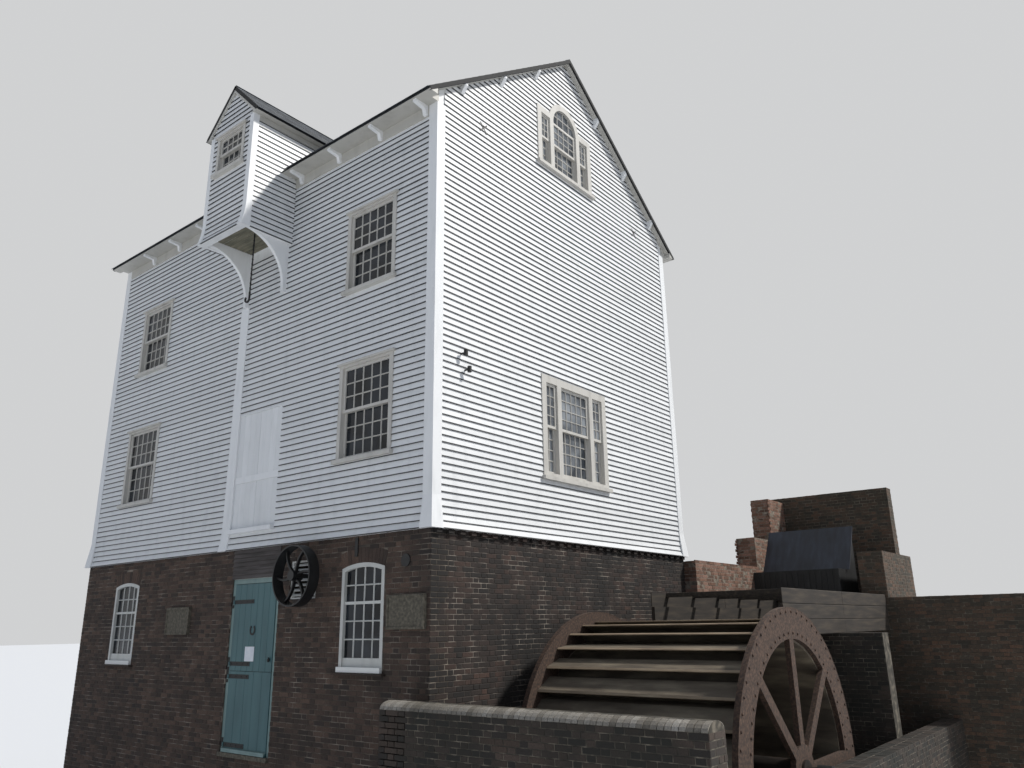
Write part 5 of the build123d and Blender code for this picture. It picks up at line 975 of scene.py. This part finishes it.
def split_slate(name, tones):
    """Riven slate: nearly flat, with a dull sheen, faint ripples and a tone for each slate."""
    material, tree, shader = finish(name, 0.55)
    lichen = add(tree, "ShaderNodeValToRGB", {
        "stops": ((0.6, "#000000"), (0.7, "#5A5A5A")), 0: patches(tree, 70, 8.0)}).outputs[0]
    colour = add(tree, "ShaderNodeMix", {
        "data_type": "RGBA", 0: lichen, 6: piece_tones(tree, tones), 7: "#8A8A72"}).outputs[2]
    surface(tree, shader, colour, patches(tree, 40, 5.0, (1, 1, 0.3)), 0.35, 0.003)
    return material


roof_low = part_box("roof_front")[0]
roof_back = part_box("roof_back")[1].y
roof_rise = (RIDGE_TOP - EAVES_TIP) / math.sin(ROOF_PITCH)
hoist_roof_low, hoist_roof_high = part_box("hoist_roof")
hoist_half = (hoist_roof_high.x - hoist_roof_low.x) / 2
hoist_eaves = hoist_roof_high.z - hoist_half
hoist_rise = hoist_half / math.cos(HOIST_PITCH)
hoist_length = hoist_roof_high.y - hoist_roof_low.y


def off_the_hoist(across, up):
    """False where the hoist housing's roof covers the front slope."""
    from_middle = abs(roof_low.x + across - hoist_middle)
    level = EAVES_TIP + up * math.sin(ROOF_PITCH)
    return not (from_middle < hoist_half - HOIST_COVERS and level < hoist_roof_high.z - from_middle)


def hoist_valley(run, up):
    """True where a slate of the housing's roof lies clear of the main slope."""
    level = hoist_eaves + up * math.sin(HOIST_PITCH)
    valley = (level - EAVES_TIP + ROOF_COVER) / SLOPE - EAVES_OVERHANG + HOIST_VALLEY
    return hoist_roof_low.y + run < valley


roof_slates = slate_places(roof_low.x, roof_low.y, EAVES_TIP, 0.0, -2 * roof_low.x, roof_rise, ROOF_PITCH,
                           off_the_hoist)
roof_slates += slate_places(-roof_low.x, roof_back, EAVES_TIP, math.pi, -2 * roof_low.x, roof_rise,
                            ROOF_PITCH)
roof_slates += slate_places(hoist_roof_high.x, hoist_roof_low.y, hoist_eaves, QUARTER, hoist_length,
                            hoist_rise, HOIST_PITCH, hoist_valley)
roof_slates += slate_places(hoist_roof_low.x, hoist_roof_high.y, hoist_eaves, -QUARTER, hoist_length,
                            hoist_rise, HOIST_PITCH, lambda run, up: hoist_valley(hoist_length - run, up))
slate = pattern("slate", *prism([(-0.5, 0.0), (-0.5, SLATE_THICKNESS), (0.5, SLATE_THICKNESS), (0.5, 0.0)]))
set_out("roof_slates", slate, roof_slates, split_slate("riven_slate", SLATE_TONES), seed=51,
        lean=(0.006, 0.0, 0.006))
verge_strip = pattern("verge_strip", *prism([
    (-VERGE_HALF, -VERGE_FOOT), (-VERGE_HALF, VERGE_TOP - VERGE_ARRIS), (VERGE_ARRIS - VERGE_HALF, VERGE_TOP),
    (VERGE_HALF - VERGE_ARRIS, VERGE_TOP), (VERGE_HALF, VERGE_TOP - VERGE_ARRIS), (VERGE_HALF, -VERGE_FOOT)]))
inset = VERGE_HALF - VERGE_PROUD
verge_places = []
for x in (roof_low.x + inset, -roof_low.x - inset):
    for y, way in ((roof_low.y, 1), (roof_back, -1)):
        run, lift = math.cos(ROOF_PITCH) * roof_rise / 2, math.sin(ROOF_PITCH) * roof_rise / 2
        verge_places.append(spot(x, y + way * run, EAVES_TIP + lift, (roof_rise, 1, 1),
                                 (0.0, -ROOF_PITCH, way * QUARTER)))
for x, turn in ((hoist_roof_low.x, 0.0), (hoist_roof_high.x, math.pi)):
    verge_places.append(spot((x + hoist_middle) / 2, hoist_roof_low.y + inset, hoist_eaves + hoist_half / 2,
                             (hoist_rise, 1, 1), (0.0, -HOIST_PITCH, turn)))
# The verge strips are near black: the dark slate edges, and painted shade under the overhanging slates.
slate_edge_painted_shade = worn("slate_edge_painted_shade", ("#121315", "#1A1B1D", "#232527"), 60, 0.8, 0.003)
set_out("verge_edges", verge_strip, verge_places, slate_edge_painted_shade, seed=52)
dress(worn("slate_bedding", ("#1E2023", "#2A2D30", "#34373B"), 200, 0.85, 0.003),
      "roof_front", "roof_back", "hoist_roof")

# The windows: softwood sashes in moulded frames, painted stone grey above and white in the brickwork.
# Thin moulded bars hold the panes. The old glass is a little uneven, and its colour is painted shade
# for the dark rooms behind it, paler on the gable as a painted reflection of the sky. The ground
# windows stand flush with the bricks, on sills of dark tile.
BAR_FACE = 0.008
BAR_FOOT = 0.022
BAR_DEPTH = 0.016
CASING = 0.06
CASING_PROUD = 0.006
CASING_DEPTH = 0.092
CASING_FOOT = 0.068
SASH_FACE = 0.045
PANE = 0.006
PANE_REBATE = 0.004
MEETING_SHARE = 0.6
BOTTOM_RAIL = 0.12
MEETING_RAIL = 0.04
RAIL_PROUD = 0.008
SILL_TILE = 0.035
SILL_TILE_OVERHANG = 0.07
GABLE_WINDOWS_X = 4.8
WHITE_BELOW = 5.2


def bars_on(low, high, columns, rows, side, face):
    """Glazing bars over one pane of glass. Low and high are its corners in the wall's own measures."""
    width, height = high[0] - low[0], high[1] - low[1]
    upright = [((low[0] + width * step / columns, (low[1] + high[1]) / 2), height, QUARTER)
               for step in range(1, columns)]
    level = [(((low[0] + high[0]) / 2, low[1] + height * step / rows), width, 0.0) for step in range(1, rows)]
    return [(along(side) * place[0] + UP * place[1] - outward(side) * face, (length, 1.0, 1.0),
             (0.0, tilt, SIDES[side])) for place, length, tilt in upright + level]


def side_of(low, high):
    """Which side of the mill a pane faces, its two corners there, and how far back its face lies."""
    if high.x - low.x < 0.01:
        if low.x > 0:
            return "wheel", (low.y, low.z), (high.y, high.z), -high.x
        return "left", (-high.y, low.z), (-low.y, high.z), low.x
    if low.y > depth / 2:
        return "back", (-high.x, low.z), (-low.x, high.z), -high.y
    return "front", (low.x, low.z), (high.x, high.z), low.y


def division(width, height, bottom):
    """Columns and rows of a pane, by its size and its storey."""
    if width < 0.25:
        return (2, 4) if bottom < 9 else (2, 3)
    if width < 0.7:
        return (4, 2) if height < 0.35 else (4, 3)
    if width < 0.8:
        return (5, 4) if bottom < 9 else (4, 2)
    return 5, 3


def ribbon(outer, inner, front, back):
    """Points and faces of a flat band between two rows of (x, z) points, from front to back."""
    count = len(outer)
    points = [(x, y, z) for y in (front, back) for row in (outer, inner) for x, z in row]
    faces = []
    for at in range(count - 1):
        a, b, c, d = (at + row * count for row in range(4))
        faces += [(a, a + 1, b + 1, b), (d, d + 1, c + 1, c), (a, c, c + 1, a + 1), (b, b + 1, d + 1, d)]
    faces += [(at, at + count, at + 3 * count, at + 2 * count) for at in (0, count - 1)]
    return points, faces


def casing_row(margin):
    """The (x, z) points up one side of a ground window, over its head and down, inside a margin."""
    side, radius = casing_half - margin, arc_radius(casing_half, ARCH_RISE)
    spread = math.asin(side / (radius - margin))
    arc = [(math.sin(angle) * (radius - margin), casing_top - radius + math.cos(angle) * (radius - margin))
           for angle in [-spread + 2 * spread * step / 8 for step in range(9)]]
    return [(-side, casing_foot)] + arc + [(side, casing_foot)]


joinery_paint = oil_paint("stone_grey_paint", "#C6C3BC", "#8F8C85", 0.45, 0.5, below=(WHITE_BELOW, "#E3E3DF"))
white_joinery = oil_paint("white_joinery_paint", "#CDCDC8", "#A3A39B", 0.45, 0.5)
# The glass is opaque. Its colour is painted shade for the dark rooms, with a paler painted reflection of the
# sky on the gable's panes.
glass, glass_tree, glass_shader = finish("old_crown_glass", 0.04, Specular_IOR_Level=0.3)
pane_place = add(glass_tree, "ShaderNodeTexCoord").outputs["Object"]
pane_x = add(glass_tree, "ShaderNodeSeparateXYZ", {0: pane_place}).outputs[0]
gable = add(glass_tree, "ShaderNodeMath", {"operation": "GREATER_THAN", 0: pane_x, 1: GABLE_WINDOWS_X})
painted_room_shade, painted_sky_reflection = [add(glass_tree, "ShaderNodeValToRGB", {
    "stops": ((0.35, dark), (0.7, pale)), 0: patches(glass_tree, 500, 2.0)}).outputs[0]
    for dark, pale in (("#0C0F12", "#2B3138"), ("#34393F", "#92979C"))]
behind = add(glass_tree, "ShaderNodeMix", {
    "data_type": "RGBA", 0: gable.outputs[0], 6: painted_room_shade, 7: painted_sky_reflection}).outputs[2]
surface(glass_tree, glass_shader, behind, patches(glass_tree, 160, 2.0), 0.15, 0.004)

window_low, window_high = ground_windows[0]
casing_half = (window_high.x - window_low.x) / 2 - 0.001
casing_foot, casing_top = window_low.z + CASING_FOOT, window_high.z - 0.001
window_middles = [(low.x + high.x) / 2 for low, high in ground_windows]
bar = pattern("glazing_bar", *prism([
    (0.0, -BAR_FOOT / 2), (0.0, BAR_FOOT / 2), (-BAR_DEPTH * 0.4, BAR_FOOT * 0.42),
    (-BAR_DEPTH, BAR_FACE / 2), (-BAR_DEPTH, -BAR_FACE / 2), (-BAR_DEPTH * 0.4, -BAR_FOOT * 0.42)]))
casing = pattern("window_casing", *ribbon(casing_row(0.0), casing_row(CASING), -CASING_PROUD, CASING_DEPTH))
flush_pane = pattern("flush_pane", *prism(casing_row(CASING - PANE_REBATE), SASH_FACE, SASH_FACE + PANE))
rail = pattern("meeting_rail", *prism([(0.02, -0.02), (-0.02, -0.02), (-0.02, 0.02), (0.02, 0.02)]))
sill_tile = pattern("sill_tile", *prism([(0.02, -0.5), (-0.075, -0.5), (-0.075, 0.3), (0.02, 0.5)]))
upper_bars, ground_bars, rails, tiles = [], [], [], []
for pane_low, pane_high in solids_of("window_glass"):
    side, low, high, face = side_of(pane_low, pane_high)
    if pane_low.z > brick_top:
        columns, rows = division(high[0] - low[0], high[1] - low[1], pane_low.z)
        upper_bars += bars_on(low, high, columns, rows, side, face)
for middle, (low, high) in zip(window_middles, ground_windows):
    foot, top = casing_foot + BOTTOM_RAIL, high.z - CASING
    ground_bars += bars_on((low.x + CASING, foot), (high.x - CASING, top), 4, 5, "front", SASH_FACE)
    width = high.x - low.x
    rails += [spot(middle, SASH_FACE - RAIL_PROUD, level,
                   (width - 2 * CASING + 0.01, 1, height / MEETING_RAIL))
              for level, height in ((foot + (top - foot) * MEETING_SHARE, MEETING_RAIL),
                                    (casing_foot + BOTTOM_RAIL / 2, BOTTOM_RAIL))]
    tiles.append(spot(middle, 0, low.z - SILL_TILE / 2, (width + 2 * SILL_TILE_OVERHANG, 1.0, SILL_TILE)))
casing_places = [spot(x, 0, 0) for x in window_middles]
pane_places = [spot(x, 0, 0, turn=(0, 0, QUARTER)) for x in window_middles]
for name, shape, places, material, slot, seed in (
        ("ground_window_casings", casing, casing_places, white_joinery, "cream_joinery", 63),
        ("ground_window_panes", flush_pane, pane_places, glass, "window_glass", 65),
        ("ground_sill_tiles", sill_tile, tiles, front_clay, "brick", 64),
        ("glazing_bars", bar, upper_bars, joinery_paint, "cream_joinery", 61),
        ("ground_glazing_bars", bar, ground_bars, white_joinery, "cream_joinery", 62),
        ("ground_meeting_rails", rail, rails, white_joinery, "cream_joinery", 66)):
    set_out(name, shape, places, material, seed=seed)
dress(joinery_paint, "window_frames", "window_sashes")
dress(white_joinery, "louvres")
dress(glass, "window_glass")

# The loading doors above the street door: two leaves of upright boards, painted white with the
# wall, shut under a plain strip of board that carries nothing.
LOADING_LEAVES = ((0.18, 0.792), (0.798, 1.41))
LOADING_STRIP = (6.37, 6.48)
LOADING_KERB = 0.07
LEAF_BOARDS = 4
loading_board = pattern("upright_board", *prism(eased(0.004, 0.003, 0.0075, 0.478)))
loading_places = []
for left, right in LOADING_LEAVES:
    width = (right - left) / LEAF_BOARDS
    for step in range(LEAF_BOARDS):
        for foot, top in ((loading_low.z + LOADING_KERB, LOADING_STRIP[0]),
                          (LOADING_STRIP[1], loading_high.z)):
            loading_places.append(spot(left + width * (step + 0.5), 0.0, (foot + top) / 2,
                                       (top - foot - 0.004, 1.0, width - 0.002), UPRIGHT))
set_out("loading_door_boards", loading_board, loading_places, trim_paint, seed=71)
dress(trim_paint, "loading_doors")

# The street door: a stable door of upright boards in two leaves with sea-green paint, hung on black
# wrought-iron tee hinges. A horseshoe, a bare white card and a latch are fixed to the upper leaf,
# and a sloping weather board to the lower one.
DOOR_SPAN = (0.431, 1.549)
DOOR_MIDDLE = 0.99
DOOR_BOARD_Y = 0.0115
DOOR_LEAVES = (("door_upper", 3.343, 4.677, 7, (3.45, 4.40)), ("door_lower", 2.226, 3.337, 5, (2.26, 3.26)))
STRAP_MIDDLE = 0.713
STRAP_Y = 0.0048
STRAP = (0.535, 1.0, 0.064)
STRAP_BOLT = (0.022, 0.008, 0.022)
STRAP_BOLT_X = (0.49, 0.635, 0.78, 0.925)
STRAP_BOLT_Y = 0.0022
PLATE_X = 0.383
PLATE_Y = 0.0128
PLATE = (0.052, 1.0, 0.192)
PLATE_LEVELS = (2.26, 3.26, 3.45, 4.40)
PLATE_BOLT = (0.018, 0.008, 0.018)
PLATE_BOLT_RISES = (-0.07, -0.025, 0.025, 0.07)
SHOE_RADII = (0.072, 0.045)
HORSESHOE = (DOOR_MIDDLE, 0.0, 3.96, (1.0, 1.0, 1.12))
CARD = (0.95, 0.0052, 3.6, (0.245, 1.0, 0.22))
LATCH = (1.485, -0.004, 3.52, (0.05, 0.03, 0.07))
WEATHER_BOARD = (DOOR_MIDDLE, 0.0, 2.186, (1.116, 1.0, 0.058))
PAINT_GRAIN = (2, 2, 0.4)
door_paint = worn("sea_green_paint", ("#34565A", "#3D6165", "#466B6E"), 500, 0.5, 0.0015, PAINT_GRAIN)
frame_paint = worn("pale_green_paint", ("#6A817F", "#768D8A", "#829996"), 500, 0.5, 0.0015, PAINT_GRAIN)
iron = worn("wrought_iron_black", ("#0B0C0D", "#121314", "#1B1C1E"), 60, 0.6, 0.0015)
card_white = worn("white_card", ("#D9DCE2", "#E4E6EA", "#ECEDEF"), 90, 0.7, 0.0005)
door_board = pattern("door_board", *prism(eased(0.002, 0.0015, 0.0045, 0.472)))
strap = pattern("hinge_strap", *prism(eased(0.001, 0.0015, 0.0025, 0.45)))
octagon = [(math.cos(math.pi * step / 4), math.sin(math.pi * step / 4)) for step in range(8)]
bolt_points = [(half * x, y, half * z)
               for half, y in ((0.5, 0.0), (0.5, -0.5), (0.3, -0.8)) for x, z in octagon]
bolt_faces = [tuple(range(8)), tuple(range(16, 24))]
bolt_faces += [(ring + at, ring + (at + 1) % 8, ring + 8 + (at + 1) % 8, ring + 8 + at)
               for ring in (0, 8) for at in range(8)]
bolt = pattern("bolt_head", bolt_points, bolt_faces)
for body, foot, top, count, levels in DOOR_LEAVES:
    width = (DOOR_SPAN[1] - DOOR_SPAN[0]) / count
    boards = [spot(DOOR_SPAN[0] + width * (step + 0.5), DOOR_BOARD_Y, (foot + top) / 2,
                   (top - foot - 0.002, 1.0, width - 0.003), UPRIGHT) for step in range(count)]
    straps = [spot(STRAP_MIDDLE, STRAP_Y, level, STRAP) for level in levels]
    heads = [spot(x, STRAP_BOLT_Y, level, STRAP_BOLT) for level in levels for x in STRAP_BOLT_X]
    set_out(f"{body}_boards", door_board, boards, door_paint, body, 72)
    set_out(f"{body}_straps", strap, straps, iron, body, 73)
    set_out(f"{body}_bolts", bolt, heads, iron, body, 74)
shoe_arc = [math.radians(-235 + 290 * step / 20) for step in range(21)]
shoe_rows = [[(radius * math.cos(angle), radius * math.sin(angle)) for angle in shoe_arc]
             for radius in SHOE_RADII]
horseshoe = pattern("horseshoe", *ribbon(*shoe_rows, -0.0015, 0.0105))
sloping_board = pattern("sloping_board", *prism([
    (0.0115, -0.5), (-0.0305, -0.5), (-0.0305, 0.42), (0.0115, 0.5)]))
plates = [spot(PLATE_X, PLATE_Y, level, PLATE) for level in PLATE_LEVELS]
plate_bolts = [spot(PLATE_X, PLATE_Y - 0.0025, level + rise, PLATE_BOLT)
               for level in PLATE_LEVELS for rise in PLATE_BOLT_RISES]
for name, shape, places, material, slot, body, seed in (
        ("hinge_plates", strap, plates, iron, "black_iron", "building", 75),
        ("hinge_plate_bolts", bolt, plate_bolts, iron, "black_iron", "building", 76),
        ("door_horseshoe", horseshoe, [spot(*HORSESHOE)], iron, "black_iron", "door_upper", 77),
        ("door_card", strap, [spot(*CARD)], card_white, "teal_door", "door_upper", 78),
        ("door_latch", bolt, [spot(*LATCH)], iron, "black_iron", "door_upper", 79),
        ("door_weather_board", sloping_board, [spot(*WEATHER_BOARD)], frame_paint, "teal_door",
         "door_lower", 80)):
    set_out(name, shape, places, material, body, seed)
dress(door_paint, "stable_door_upper", "stable_door_lower")
dress(frame_paint, "door_frame")

# The slatted panel over the street door: seven weathered softwood boards without paint, nailed up
# so that each leans out over the next.
SLATS = 7
SLATS_FOOT = 4.765
SLAT_Y = -0.014
SLAT_LENGTH = 1.28
slat_rise = (brick_top - SLATS_FOOT) / SLATS
slat = pattern("door_slat", *prism([
    (0.012, -0.55), (-0.012, -0.55), (-0.016, -0.5), (0.004, 0.5), (0.018, 0.5)]))
slat_places = [spot(DOOR_MIDDLE, SLAT_Y, SLATS_FOOT + slat_rise * (step + 0.5), (SLAT_LENGTH, 1.0, slat_rise))
               for step in range(SLATS)]
slat_timber = worn("grey_brown_softwood", ("#3A3634", "#4C4745", "#5C5755"), 45, 0.85, 0.002, (0.1, 1, 1))
set_out("over_door_slats", slat, slat_places, slat_timber, seed=81, lean=(0.02, 0.003, 0.0))

# The hoist's chain of forged links, with its hook, and the other ironwork: the belt pulley on its
# shaft, the tie plates, and two arms with insulators on the gable. All of it is painted black.
LINK_HALF = (0.013, 0.024)
LINK_WIRE = 0.006
LINK_PITCH = 0.046
LINKS = 24
LINK_STEPS = 10
WIRE_STEPS = 5
CHAIN_FOOT = (0.92, -0.52, 9.64)


def closed_ring(sections):
    """Points and faces of a closed ring through sections with the same number of points."""
    count = len(sections[0])
    faces = []
    for step in range(len(sections)):
        here, after = step * count, (step + 1) % len(sections) * count
        faces += [(here + at, here + (at + 1) % count, after + (at + 1) % count, after + at)
                  for at in range(count)]
    return [point for section in sections for point in section], faces


link_sections = []
for step in range(LINK_STEPS):
    angle = 2 * math.pi * step / LINK_STEPS
    way = Vector((math.cos(angle), 0.0, math.sin(angle)))
    centre = Vector((LINK_HALF[0] * way.x, 0.0, LINK_HALF[1] * way.z))
    link_sections.append([
        centre + way * (LINK_WIRE * math.cos(turn)) + Vector((0, LINK_WIRE * math.sin(turn), 0))
        for turn in [2 * math.pi * at / WIRE_STEPS for at in range(WIRE_STEPS)]])
link = pattern("chain_link", *closed_ring(link_sections))
chain_places = [spot(*CHAIN_FOOT[:2], CHAIN_FOOT[2] + LINK_PITCH * step,
                     turn=(0.0, 0.0, QUARTER * (step % 2))) for step in range(LINKS)]
set_out("hoist_chain_links", link, chain_places, iron, seed=82)
dress(worn("cast_iron_black", ("#0C0D0E", "#141517", "#1F2022"), 80, 0.55, 0.0015), "ironwork")
dress(worn("blacked_cast_iron", ("#0A0B0D", "#111214", "#191A1C"), 120, 0.5, 0.0015), "pulley")

# The water wheel: cast-iron sides and arms on an iron shaft, with curved buckets of sheet iron. The
# rims are rusty and carry a rolled hoop and two rows of bolts, and the buckets' lips are paler.
BUCKETS = 32
HOOP_STEPS = 128
HOOP_WIDTH = 0.074
HOOP_INSET = 0.035
HOOP_THICKNESS = 0.012
RIM_BOLT = (0.034, 0.02, 0.034)
RIM_BOLT_DEPTHS = (0.06, 0.33)
LIP = (2.9, 0.014, 0.036)
LIP_DEPTH = 0.15
LIP_LEAD = 1.21
wheel_centre = (wheel_low + wheel_high) / 2
wheel_radius = (wheel_high.z - wheel_low.z) / 2


def on_wheel(x, depth_in, angle, size, turn):
    """A place at a depth inside the wheel's rim, at an angle round its axle."""
    radius = wheel_radius - depth_in
    return spot(x, wheel_centre.y + radius * math.cos(angle), wheel_centre.z + radius * math.sin(angle),
                size, turn)


rust = worn("rusted_cast_iron", ("#2A211C", "#3A2C24", "#4C3A2F", "#5C483B"), 30, 0.85, 0.004, fine=6)
bucket_sheet = worn("weathered_bucket_iron", ("#453E35", "#645A4C", "#867B68"), 220, 0.8, 0.003, (0.3, 1, 1))
# The buckets' lips are given paler tones than the bucket sheet.
lip_iron = worn("pale_bucket_lips", ("#7A6A58", "#95836C", "#AA9980"), 150, 0.8, 0.002, (0.3, 1, 1))
inner_radius = wheel_radius - HOOP_THICKNESS
hoop_section = [(-0.5, inner_radius), (0.5, inner_radius), (0.5, wheel_radius), (-0.5, wheel_radius)]
hoop = pattern("wheel_hoop", *closed_ring([
    [(x, radius * math.cos(angle), radius * math.sin(angle)) for x, radius in hoop_section]
    for angle in [2 * math.pi * step / HOOP_STEPS for step in range(HOOP_STEPS)]]))
hoops = [spot(x, wheel_centre.y, wheel_centre.z, (HOOP_WIDTH, 1.0, 1.0))
         for x in (wheel_low.x + HOOP_INSET, wheel_high.x - HOOP_INSET)]
rim_bolts = [on_wheel(x, depth_in, math.pi * (step + 0.5) / BUCKETS, RIM_BOLT, (0.0, 0.0, turn))
             for x, turn in ((wheel_low.x, -QUARTER), (wheel_high.x, QUARTER))
             for step in range(2 * BUCKETS) for depth_in in RIM_BOLT_DEPTHS]
lip = pattern("bucket_lip", *prism([(-0.5, -0.5), (0.5, -0.5), (0.5, 0.5), (-0.5, 0.5)]))
lips = [on_wheel(wheel_centre.x, LIP_DEPTH, angle, LIP, (angle, 0.0, 0.0))
        for angle in [2 * math.pi * (step + LIP_LEAD) / BUCKETS for step in range(BUCKETS)]]
set_out("wheel_hoops", hoop, hoops, rust, "water_wheel", 91)
set_out("wheel_rim_bolts", bolt, rim_bolts, rust, "water_wheel", 92)
set_out("bucket_lips", lip, lips, lip_iron, "water_wheel", 93)
dress(rust, "wheel_sides")
dress(bucket_sheet, "wheel_buckets")
dress(worn("greased_shaft_iron", ("#1E1B19", "#2E2825", "#40352E"), 150, 0.6, 0.002, Metallic=0.5),
      "wheel_shaft")

# The launder and the sluice: an oak trough of three planks to a side, held by cross ties, that leads
# from the sluice box to the wheel. The box has tarred upright boards, a sill beam and a felted cover.
LAUNDER_ROWS = 3
LAUNDER_JOINT = 7.3
LAUNDER_GAP = 0.006
LAUNDER_LEFT_INSET = 0.05
TIES = 6
FIRST_TIE = (6.8, 5.0, 4.425)
TIE_LENGTH = 2.2
SILL_BEAM = (6.35, 10.03, 4.345, (1.4, 1.0, 0.226))
TARRED_BOARDS = 15
TARRED_MIDDLE = 4.62
TARRED_LENGTH = 0.75
launder_low, launder_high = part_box("launder")
sluice_low, sluice_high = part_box("sluice_boards")
# The launder's oak is darker than weathered oak alone. This is painted shade, so that the trough reads as the
# shadow round it.
weathered_oak_painted_shade = worn("weathered_oak_painted_shade", ("#231F1B", "#312B25", "#443C32"), 60, 0.85, 0.003, (1, 0.1, 1))
grey_oak = worn("greyed_oak", ("#5A544B", "#756D61", "#8D8578"), 60, 0.85, 0.003, (0.1, 1, 1))
tar = worn("tarred_boards", ("#0E0E0F", "#18191A", "#262728"), 70, 0.6, 0.002, (1, 1, 0.12))
launder_board = pattern("launder_board", *prism(eased(0.004, 0.004, 0.010, 0.46)))
tie = pattern("launder_tie", *prism([
    (-0.045, -0.035), (0.045, -0.035), (0.045, 0.03), (0.04, 0.035), (-0.04, 0.035), (-0.045, 0.03)]))
sill_board = pattern("sill_board", *prism([
    (0.02, -0.5), (-0.008, -0.5), (-0.008, 0.47), (0.0, 0.5), (0.02, 0.5)]))
board_height = (launder_high.z - launder_low.z) / LAUNDER_ROWS
launder_places = [
    spot(x, (near + far) / 2, launder_low.z + board_height * (row + 0.5),
         (far - near - LAUNDER_GAP, 1.0, board_height - LAUNDER_GAP), (0.0, 0.0, SIDES[side]))
    for row in range(LAUNDER_ROWS)
    for near, far in ((launder_low.y, LAUNDER_JOINT), (LAUNDER_JOINT, launder_high.y))
    for x, side in ((launder_high.x, "wheel"), (launder_low.x + LAUNDER_LEFT_INSET, "left"))]
ties = [spot(FIRST_TIE[0], FIRST_TIE[1] + step, FIRST_TIE[2], (TIE_LENGTH, 1.0, 1.0)) for step in range(TIES)]
width = (sluice_high.x - sluice_low.x) / TARRED_BOARDS
tarred_places = [spot(sluice_low.x + width * (step + 0.5), sluice_low.y, TARRED_MIDDLE,
                      (TARRED_LENGTH, 1.0, width - 0.006), UPRIGHT) for step in range(TARRED_BOARDS)]
for name, shape, places, material, slot, seed, lean in (
        ("launder_boards", launder_board, launder_places, weathered_oak_painted_shade, "bare_timber", 94,
         (0.004, 0, 0.001)),
        ("launder_ties", tie, ties, weathered_oak_painted_shade, "bare_timber", 95, (0, 0, 0.01)),
        ("sill_beam_face", sill_board, [spot(*SILL_BEAM)], grey_oak, "bare_timber", 97, (0, 0, 0)),
        ("sluice_front_boards", launder_board, tarred_places, tar, "black_boards", 96, (0.006, 0, 0.002))):
    set_out(name, shape, places, material, seed=seed, lean=lean)
dress(weathered_oak_painted_shade, "launder")
dress(tar, "sluice_boards")
dress(worn("tarred_felt", ("#20232A", "#2A2E37", "#363B46"), 300, 0.7, 0.002, (2.5, 0.6, 0.6)),
      "sluice_cover")

# The floors inside: wide softwood boards, bare and dusty, that show only through the openings. The
# patterns have served their turn once everything is set out, and are cleared away.
dress(worn("dusty_floorboards", ("#5E5548", "#7A705F", "#8E8473"), 90, 0.9, 0.002, (0.15, 1, 1)), "floors")
for shape in patterns:
    bpy.data.objects.remove(shape)
